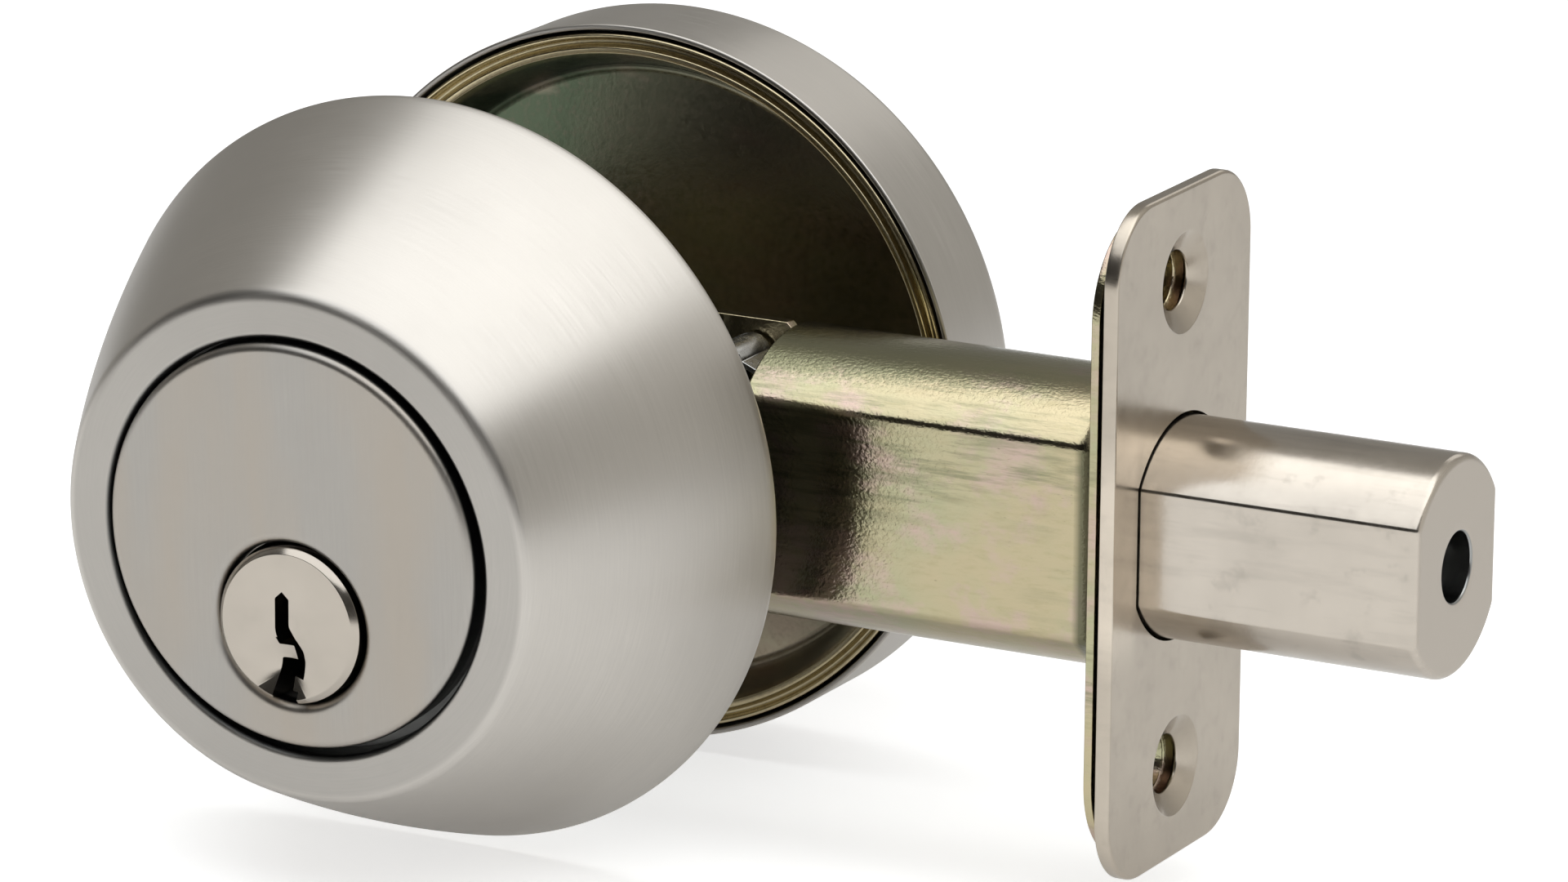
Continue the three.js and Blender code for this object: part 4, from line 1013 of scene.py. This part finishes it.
class DEADBOLT_OT_cylinder(bpy.types.Operator):
    """Casts the cylinder: face disc, barrel, pin tower and screw posts, and finishes its cap"""

    bl_idname = "deadbolt.cylinder"
    bl_label = "Cylinder"

    def execute(self, context):
        s = context.scene.lock_sizes
        front, back = low("cylinder_housing").y - s.disc_proud, high("cylinder_housing").y
        flange = high("cylinder_housing").z
        flange_front = low("collar").y + s.collar_wall + SEAT_GAP
        flange_back = flange_front + FLANGE
        bore = high("plug").x + s.bore_gap
        face = turned("cylinder_face", rounded([
            (0.0, front),
            (s.disc_radius, front, s.disc_round),
            (s.disc_radius, flange_front),
            (flange, flange_front, 0.0003),
            (flange, flange_back, 0.0003),
            (0.0, flange_back),
        ], steps=8), x=-s.disc_left, z=s.disc_rise, loop=False)
        eye = loose_seat(s).inverted() @ Vector((0, front, TURN_Z))
        mouth_depth, mouth_radius = 2 * s.hole_round, bore + 3 * s.hole_round
        mouth = turned("mouth", rounded([
            (0.0, front - CUT_PAST),
            (mouth_radius, front - CUT_PAST),
            (mouth_radius, front),
            (bore, front, s.hole_round),
            (bore, front + mouth_depth),
            (0.0, front + mouth_depth),
        ], steps=8), x=eye.x, z=eye.z, loop=False)
        hang_loose(carve(face, mouth), s)

        root = flange_front + EMBED
        added = [rod("Y", bore + s.barrel_wall, root, back, 0.0, TURN_Z, sides=96),
                 block((-TOWER_HALF, TOWER_HALF), (root, back), (TURN_Z, TOWER_TOP))]
        holes = [rod("Y", bore, front - CUT_PAST, back + CUT_PAST, 0.0, TURN_Z, sides=TURN_SIDES)]
        holes += [rod("Z", CHAMBER_RADIUS, TURN_Z, CHAMBER_TOP, 0.0, y, sides=32) for y in PIN_YS]
        for x in (-POST_SPREAD, POST_SPREAD):
            added.append(rod("Y", POST_RADIUS, flange_back, back, x, TURN_Z, sides=48))
            added.append(block(sorted((0.0, x)), (root, back),
                               (TURN_Z - WEB_HALF, TURN_Z + WEB_HALF)))
            holes.append(rod("Y", POST_THREAD, back - POST_THREAD_DEPTH, back + CUT_PAST,
                             x, TURN_Z, sides=32))
        fuse(face, *added)
        carve(face, *holes)
        complete(face, "fixed_parts", "satin_nickel", "upright_satin", "cylinder_housing")
        refine("chamber_cap", "fixed_parts", "brass", FINE_EDGE)
        return {"FINISHED"}


# Keyway outline in millimetres from the plug's axis, to the right and up as seen from outside.
KEYWAY = [
    (-0.45, 2.9), (0.2, 2.3, 0.15), (0.2, 0.0, 0.6), (0.95, -1.15, 0.5), (1.45, -2.0, 0.8),
    (1.52, -2.9, 0.8), (1.25, -4.5), (0.25, -4.4), (0.3, -5.5), (0.85, -5.55), (0.75, -7.4),
    (-1.75, -7.4), (-0.9, -2.9, 0.2), (0.62, -2.85), (0.5, -1.62), (-0.9, -1.66, 0.12),
    (-1.12, -1.05), (-0.95, -1.0), (-1.1, -0.3), (-1.1, 2.3, 0.15),
]
KEYWAY_END = 0.0012  # metal left at the keyway's inner end
LEAD_IN_PLACE = (-0.0003, -0.0037)  # countersink's place from the plug's axis
NECK_RADIUS = 0.0049  # behind the barrel
NECK_LENGTH = 0.0027
CLIP_GROOVE_RADIUS = 0.0042
CLIP_GROOVE_WIDTH = 0.0014
LUG_OUTER, LUG_INNER = 0.0044, 0.0036  # the lug that drives the tailpiece
LUG_ROOT = 0.0008  # how far it is rooted in the neck
LUG_START, LUG_WIDTH = -108, 36  # in degrees round the axis


class DEADBOLT_OT_plug(bpy.types.Operator):
    """Turns the plug, mills its warded keyway and drills its pin chambers"""

    bl_idname = "deadbolt.plug"
    bl_label = "Plug"

    def execute(self, context):
        s = context.scene.lock_sizes
        front, back = low("plug").y, high("cylinder_housing").y
        radius = high("plug").x
        groove_end, neck_end = back + CLIP_GROOVE_WIDTH, back + NECK_LENGTH
        plug = turned("plug_body", [
            (0.0, front),
            *rounded([
                (0.001, front),
                (radius - s.plug_chamfer, front, 0.00008),
                (radius, front + s.plug_chamfer, 0.00008),
                (radius, back),
            ], steps=3),
            (CLIP_GROOVE_RADIUS, back), (CLIP_GROOVE_RADIUS, groove_end),
            (NECK_RADIUS, groove_end), (NECK_RADIUS, neck_end), (0.0, neck_end),
        ], z=TURN_Z, loop=False)
        lug_angles = [math.radians(LUG_START + LUG_WIDTH * k / 12) for k in range(13)]
        lug_outline = (arc(LUG_OUTER, lug_angles, 0.0, TURN_Z)
                       + arc(LUG_INNER, lug_angles[::-1], 0.0, TURN_Z))
        lug_ends = (neck_end - LUG_ROOT, high("plug").y)
        fuse(plug, lofted("lug", [(y, lug_outline) for y in lug_ends], "Y"))

        outline = [(u * MM, TURN_Z + v * MM) for u, v in rounded(KEYWAY, closed=True, steps=5)]
        keyway_ends = (front - CUT_PAST, back - KEYWAY_END)
        keyway = lofted("keyway", [(y, outline) for y in keyway_ends], "Y")
        flare = s.lead_in_radius / s.lead_in_depth
        lead_in = turned("lead_in", [
            (0.0, front - CUT_PAST),
            (s.lead_in_radius + flare * CUT_PAST, front - CUT_PAST),
            (0.0, front + s.lead_in_depth),
        ], x=LEAD_IN_PLACE[0], z=TURN_Z + LEAD_IN_PLACE[1], loop=False)
        chambers = [rod("Z", CHAMBER_RADIUS, TURN_Z - CHAMBER_FLOOR, TURN_Z + radius + CUT_PAST,
                        0.0, y, sides=32) for y in PIN_YS]
        carve(plug, keyway, lead_in, *chambers)
        complete(plug, "plug", "bright_nickel", "plug_nickel", "plug")
        refine("plug_clip", "plug", "spring_steel", FINE_EDGE)
        refine("tail_cap", "plug", "brass", FINE_EDGE)
        return {"FINISHED"}


class DEADBOLT_OT_pins(bpy.types.Operator):
    """Finishes the key pins, the driver pins and the springs"""

    bl_idname = "deadbolt.pins"
    bl_label = "Pins"

    def execute(self, context):
        for i in PINS:
            for pin in (f"key_pin_{i}", f"driver_pin_{i}"):
                refine(pin, pin, "brass", 0)
            coil, lift = f"pin_spring_{i}", f"driver_pin_{i}_lift"
            spring = refine(coil, "fixed_parts", "spring_steel", 0)
            seat = (low(coil) + high(coil)) / 2
            seat.z = high(coil).z
            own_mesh(spring)
        return {"FINISHED"}


# ---- Bolt unit ----

BOLT_WAY_CORNER = 0.0006  # rounding in the corners of the bolt's way through the plates
PLATE_BACK_EDGE = 0.0001  # broken back edge of both plates
BACKPLATE_EDGE = 0.00012
PRESSED = 0.00012  # how softly a countersink rolls into the plate's face
BOSS_ROOT = 0.0004  # how far a boss reaches into the sheet
BORE_CHAMFER = 0.001  # round the bolt's end bore
TAIL_SLOT_HALF = 0.011  # half the height of the slot for the bolt's tail
RIVET_GAP = 0.00025
FLARE_LEAN = math.radians(45)  # how steeply the tube meets the backplate


def bolt_way(s, start, end):
    """Cutter for the bolt's way through a plate."""
    outline = flatted_circle(
        high("bolt").z + s.bolt_gap, high("bolt").y + s.bolt_gap, BOLT_WAY_CORNER)
    return lofted("bolt_way", [(x, outline) for x in (start - CUT_PAST, end + CUT_PAST)], "X")


def dimple(start, end, wide, narrow, z):
    """Cutter for a pressed countersink: a cone whose rim rolls softly into the plate's face."""
    clear = wide + 4 * PRESSED
    profile = rounded([
        (end + CUT_PAST, clear),
        (end, clear),
        (end, wide, 2.6 * PRESSED),
        (start + 0.00015, narrow, 0.0002),
        (start - CUT_PAST, narrow),
    ], steps=8)
    return lofted("dimple", [(x, circle(r, 96, 0.0, z)) for x, r in profile], "X")


def edge_plate(s, node, name, start, corner, edge, sink, slot, finish):
    """Presses one of the edge plates, with the bolt's way and two countersunk screw holes."""
    back, end = low(node).x, high(node).x
    width, height = 2 * high(node).y, 2 * high(node).z

    def outline(inset):
        return rounded_rect(width - 2 * inset, height - 2 * inset, corner - inset, steps=20)

    plate = lofted(name, rolled(outline, start, end, edge, PLATE_BACK_EDGE, 5), "X")
    cutters = [bolt_way(s, start, end)]
    bore = s.plate_screw_radius - 0.0001
    for side in (-1, 1):
        z = side * s.plate_screws / 2
        if back < start:
            fuse(plate, rod("X", s.boss_radius, back, start + BOSS_ROOT, 0.0, z,
                            tip=s.boss_radius + 0.0001))
            cutters.append(rod("X", bore, back - CUT_PAST, end, 0.0, z))
        cutters.append(dimple(start, end, sink, bore, z))
    carve(plate, *cutters)
    complete(plate, "fixed_parts", slot, finish, node)


class DEADBOLT_OT_edge_plates(bpy.types.Operator):
    """Presses the faceplate and the smaller backplate behind it"""

    bl_idname = "deadbolt.edge_plates"
    bl_label = "Edge plates"

    def execute(self, context):
        s = context.scene.lock_sizes
        edge_plate(s, "faceplate", "faceplate_sheet", low("faceplate").x, s.plate_corner,
                   s.plate_edge, s.countersink_radius, "bright_nickel", "plate_nickel")
        edge_plate(s, "backplate", "backplate_sheet", high("backplate").x - s.backplate_sheet,
                   s.backplate_corner, BACKPLATE_EDGE, s.boss_radius + 0.0002,
                   "yellow_zinc", "yellow_zinc")
        return {"FINISHED"}


class DEADBOLT_OT_bolt(bpy.types.Operator):
    """Draws the bolt with its rounded tip and end bore, and finishes the tail that pulls it"""

    bl_idname = "deadbolt.bolt"
    bl_label = "Bolt"

    def execute(self, context):
        s = context.scene.lock_sizes
        back, tip = low("bolt").x, high("bolt").x
        radius, half = high("bolt").z, high("bolt").y

        def outline(inset):
            return flatted_circle(radius - inset, half - inset, s.bolt_corner)

        bolt = lofted("bolt_bar", rolled(outline, back, tip, s.bolt_edge, 0.0003, 8), "X")
        bore_profile = rounded([
            (tip - s.end_bore_depth, s.end_bore_radius),
            (tip, s.end_bore_radius, 0.00025),
            (tip, s.end_bore_radius + BORE_CHAMFER),
            (tip + CUT_PAST, s.end_bore_radius + BORE_CHAMFER),
        ], steps=4)
        bore = lofted("bore", [(x, circle(r, 64)) for x, r in bore_profile], "X")
        slot_end, slot_half = high("bolt_tail").x + SEAT_GAP, high("bolt_tail").y + SEAT_GAP
        slot = block((back - CUT_PAST, slot_end), (-slot_half, slot_half),
                     (-TAIL_SLOT_HALF, TAIL_SLOT_HALF))
        rivet = (low("tail_rivet") + high("tail_rivet")) / 2
        rivet_hole = rod("Y", high("tail_rivet").z - rivet.z + RIVET_GAP, -0.01, 0.01,
                         rivet.x, rivet.z, sides=32)
        carve(bolt, bore, slot, rivet_hole)
        complete(bolt, "bolt", "bright_nickel", "bolt_nickel", "bolt")
        refine("anti_saw_pin", "bolt", "hard_steel", STEEL_EDGE)
        refine("bolt_tail", "bolt", "steel", 0.00012)
        refine("tail_rivet", "bolt", "steel", STEEL_EDGE)
        return {"FINISHED"}


class DEADBOLT_OT_bolt_tube(bpy.types.Operator):
    """Draws the flatted tube, flared at the backplate, and finishes the cup at its inner end"""

    bl_idname = "deadbolt.bolt_tube"
    bl_label = "Bolt tube"

    def execute(self, context):
        s = context.scene.lock_sizes
        start, end = low("bolt_housing").x, high("bolt_housing").x
        radius, half, wall = high("bolt_housing").z, high("bolt_housing").y, s.tube_wall

        def outline(grow):
            return flatted_circle(radius + grow, half + grow, s.tube_corner + max(grow, -0.0006))

        flare = [(end - s.tube_flare * (math.sin(FLARE_LEAN) - math.sin(a)),
                  s.tube_flare * (1 - math.cos(a))) for a in sweep(0, FLARE_LEAN, 8)]
        outside = [(start, -0.00025), (start + 0.00008, -0.0001), (start + 0.00025, 0.0), *flare]
        inside = [(x, grow - wall) for x, grow in reversed(flare)]
        inside += [(start + 0.0002, -wall), (start + 0.00005, -wall + 0.0001),
                   (start, -wall + 0.00025)]
        stations = [(x, outline(grow)) for x, grow in outside + inside]
        tube = lofted("bolt_tube", stations, "X", loop=True)
        complete(tube, "fixed_parts", "yellow_zinc", "tube_zinc", "bolt_housing")
        refine("rear_bulkhead", "fixed_parts", "steel", STEEL_EDGE, "yellow_zinc")
        return {"FINISHED"}


class DEADBOLT_OT_case(bpy.types.Operator):
    """Finishes the crank case: side plates, spacers, crank, crank pin and detent spring"""

    bl_idname = "deadbolt.case"
    bl_label = "Crank case"

    def execute(self, context):
        s = context.scene.lock_sizes
        for node in ("case_plate_exterior", "case_plate_interior"):
            refine(node, "fixed_parts", "yellow_zinc", s.sheet_edge)
        for node in ("case_spacer_upper", "case_spacer_lower"):
            refine(node, "fixed_parts", "steel", FINE_EDGE, "yellow_zinc")
        refine("crank", "crank", "zinc_casting", 0.00015)
        refine("crank_pin", "crank", "steel", FINE_EDGE)
        refine("detent_spring", "fixed_parts", "spring_steel", 0.00008)
        return {"FINISHED"}


class DEADBOLT_OT_tail_drive(bpy.types.Operator):
    """Finishes the flat tailpiece that joins the plug, the crank and the thumbturn"""

    bl_idname = "deadbolt.tail_drive"
    bl_label = "Tail drive"

    def execute(self, context):
        refine("tailpiece", "tailpiece", "steel", FINE_EDGE)
        return {"FINISHED"}


# ---- Interior half ----

WEB_RADIUS = 0.0072  # flat middle of the mounting plate, filled by its own disc
SCREW_HOLE = 0.0024  # radius of the mounting plate's screw holes
ROSE_CORE = 0.001  # radius where the rose's cover stops and its middle begins
SOCKET_RADIUS = 0.0033  # of the thumbturn's D-shaped socket
SOCKET_FLAT = 0.001  # from the axis to the socket's flat
SOCKET_LEAN = math.radians(45)
CLIP_DEPTH = 0.0006  # of the groove for the thumbturn's clip


class DEADBOLT_OT_mounting_plate(bpy.types.Operator):
    """Presses the dished mounting plate with the beads round its pan"""

    bl_idname = "deadbolt.mounting_plate"
    bl_label = "Mounting plate"

    def execute(self, context):
        s = context.scene.lock_sizes
        radius, back = high("mounting_plate").x, high("mounting_plate").y
        crest = low("mounting_plate").y
        wall = s.pan_wall
        floor = back - wall
        pan = radius - s.pan_rim
        foot, groove = pan - s.pan_taper, crest + s.pan_groove
        plate = turned("mounting_dish", rounded([
            (radius, crest, 0.0003),
            (radius, crest + wall, 0.0002),
            (pan + wall, crest + wall),
            (foot + wall, back, 0.0006),
            (WEB_RADIUS, back),
            (WEB_RADIUS, floor),
            (foot, floor, 0.0011),
            (pan - 0.0001, crest + 0.0003, 0.00025),
            (pan + 0.00045, crest + 0.0002, 0.00022),
            (pan + 0.0007, groove, 0.0003),
            (radius - 0.0006, groove - 0.0002, 0.0003),
            (radius - 0.0003, crest, 0.00015),
        ], closed=True, steps=5), sides=SHELL_SIDES)
        fuse(plate, disc("web", WEB_RADIUS + 0.0001, floor, back))
        holes = [rod("Y", s.shaft_radius + 0.0004, floor - CUT_PAST, back + CUT_PAST,
                     0.0, TURN_Z)]
        holes += [rod("Y", SCREW_HOLE, floor - CUT_PAST, back + CUT_PAST, x, TURN_Z, sides=48)
                  for x in (-POST_SPREAD, POST_SPREAD)]
        carve(plate, *holes)
        complete(plate, "fixed_parts", "yellow_zinc", "dark_zinc", "mounting_plate")
        return {"FINISHED"}


class DEADBOLT_OT_rose(bpy.types.Operator):
    """Draws the rose that covers the mounting plate"""

    bl_idname = "deadbolt.rose"
    bl_label = "Rose"

    def execute(self, context):
        s = context.scene.lock_sizes
        radius, front, back = high("rose").x, low("rose").y, high("rose").y
        wall = s.rose_wall
        floor = back - wall
        rose = turned("rose_cover", [
            (ROSE_CORE, floor),
            *rounded([
                (ROSE_CORE + 0.0001, floor),
                (radius - wall, floor, s.rose_round - wall),
                (radius - wall, front, 0.0002),
                (radius, front, 0.0002),
                (radius, back, s.rose_round),
                (ROSE_CORE + 0.0001, back),
            ], steps=14),
            (ROSE_CORE, back),
        ], sides=SHELL_SIDES)
        fuse(rose, disc("core", ROSE_CORE + 0.0002, floor, back))
        carve(rose, rod("Y", s.shaft_radius + SEAT_GAP, floor - CUT_PAST, back + CUT_PAST,
                        0.0, TURN_Z))
        complete(rose, "fixed_parts", "satin_nickel", "turned_satin", "rose")
        return {"FINISHED"}


def grip_outline(s, top, base, half_span, inset):
    """Outline of the grip in (x, y): it flares from its waist to rounded ends."""
    foot = base + s.hub_thickness / 2
    half, waist = half_span - inset, s.grip_waist / 2 - inset
    top = top - inset
    middle = (foot + top) / 2
    corner = s.grip_corner - inset / 2
    shoulder = top - s.grip_corner + inset / 2
    right = []
    for k in range(25):
        t = k / 24
        x = (1 - t) ** 2 * (1 + 2 * t) * waist + t * t * (3 - 2 * t) * half
        y = (1 - t) ** 3 * foot + 3 * t * (1 - t) * middle + t ** 3 * shoulder
        right.append((x, y))
    right += arc(corner, sweep(0, math.pi / 2, 10)[1:], half - corner, shoulder)
    return right + [(-x, y) for x, y in reversed(right)]


class DEADBOLT_OT_thumbturn(bpy.types.Operator):
    """Shapes the thumbturn: round foot, flared grip and the shaft that turns the tailpiece"""

    bl_idname = "deadbolt.thumbturn"
    bl_label = "Thumbturn"

    def execute(self, context):
        s = context.scene.lock_sizes
        base, top = high("rose").y + SEAT_GAP, high("thumbturn").y
        hub_top, hub_middle = base + s.hub_thickness, base + s.hub_thickness / 2
        half = s.grip_thickness / 2
        stations = rolled(lambda inset: grip_outline(s, top, base, high("thumbturn").x, inset),
                          -half, half, s.grip_round, s.grip_round, 8)
        grip = lofted("thumbturn_grip", stations, "Z")
        grip.data.transform(Matrix.Translation((0, 0, TURN_Z)))
        hub = turned("hub", rounded([
            (0.0, base), (s.hub_radius, base, 0.0002),
            (s.hub_radius, hub_top, s.grip_round), (0.0, hub_top),
        ], steps=8), z=TURN_Z, loop=False, sides=128)
        shaft_front, shaft_radius = low("thumbturn").y, s.shaft_radius
        groove_front = low("thumbturn_clip").y - SEAT_GAP
        groove_back = high("thumbturn_clip").y + SEAT_GAP
        shaft = turned("shaft", [
            (0.0, shaft_front), (shaft_radius, shaft_front), (shaft_radius, groove_front),
            (shaft_radius - CLIP_DEPTH, groove_front), (shaft_radius - CLIP_DEPTH, groove_back),
            (shaft_radius, groove_back), (shaft_radius, hub_middle), (0.0, hub_middle),
        ], z=TURN_Z, loop=False, sides=96)
        fuse(grip, hub, shaft)
        flat = math.acos(SOCKET_FLAT / SOCKET_RADIUS)
        angles = [SOCKET_LEAN + flat + (2 * math.pi - 2 * flat) * k / 40 for k in range(41)]
        outline = arc(SOCKET_RADIUS, angles, 0.0, TURN_Z)
        socket_ends = (shaft_front - CUT_PAST, base + SEAT_GAP)
        carve(grip, lofted("socket", [(y, outline) for y in socket_ends], "Y"))
        complete(grip, "thumbturn", "satin_nickel", "turned_satin", "thumbturn")
        refine("thumbturn_clip", "thumbturn", "spring_steel", FINE_EDGE)
        refine("thumbturn_washer", "fixed_parts", "spring_steel", FINE_EDGE)
        return {"FINISHED"}


class DEADBOLT_OT_through_screws(bpy.types.Operator):
    """Finishes the two screws that clamp the halves together"""

    bl_idname = "deadbolt.through_screws"
    bl_label = "Through screws"

    def execute(self, context):
        for node in ("through_screw_left", "through_screw_right"):
            refine(node, "fixed_parts", "steel", 0.00015)
        return {"FINISHED"}


# ---- Panel and registration ----

PIECES = (
    DEADBOLT_OT_stage,
    DEADBOLT_OT_collar,
    DEADBOLT_OT_cylinder,
    DEADBOLT_OT_plug,
    DEADBOLT_OT_pins,
    DEADBOLT_OT_edge_plates,
    DEADBOLT_OT_bolt,
    DEADBOLT_OT_bolt_tube,
    DEADBOLT_OT_case,
    DEADBOLT_OT_tail_drive,
    DEADBOLT_OT_mounting_plate,
    DEADBOLT_OT_rose,
    DEADBOLT_OT_thumbturn,
    DEADBOLT_OT_through_screws,
)


class DEADBOLT_PT_pieces(bpy.types.Panel):
    """Lists the lock's pieces in the order they are made"""

    bl_label = "Tubular Deadbolt"
    bl_idname = "DEADBOLT_PT_pieces"
    bl_space_type = "VIEW_3D"
    bl_region_type = "UI"
    bl_category = "Deadbolt"

    def draw(self, context):
        for piece in PIECES:
            self.layout.operator(piece.bl_idname)


SETTINGS = {"lock_sizes": LockSizes, "lock_finishes": LockFinishes, "lock_studio": LockStudio}
CLASSES = (*SETTINGS.values(), *PIECES, DEADBOLT_PT_pieces)


def register():
    """Adds the classes and the scene's settings."""
    for made in CLASSES:
        bpy.utils.register_class(made)
    for name, kind in SETTINGS.items():
        setattr(bpy.types.Scene, name, bpy.props.PointerProperty(type=kind))


def unregister():
    """Takes the settings and the classes away again."""
    for name in SETTINGS:
        delattr(bpy.types.Scene, name)
    for made in reversed(CLASSES):
        bpy.utils.unregister_class(made)


def main():
    """Makes every piece in order."""
    register()
    for piece in PIECES:
        group, name = piece.bl_idname.split(".")
        getattr(getattr(bpy.ops, group), name)()


if __name__ == "__main__":
    main()
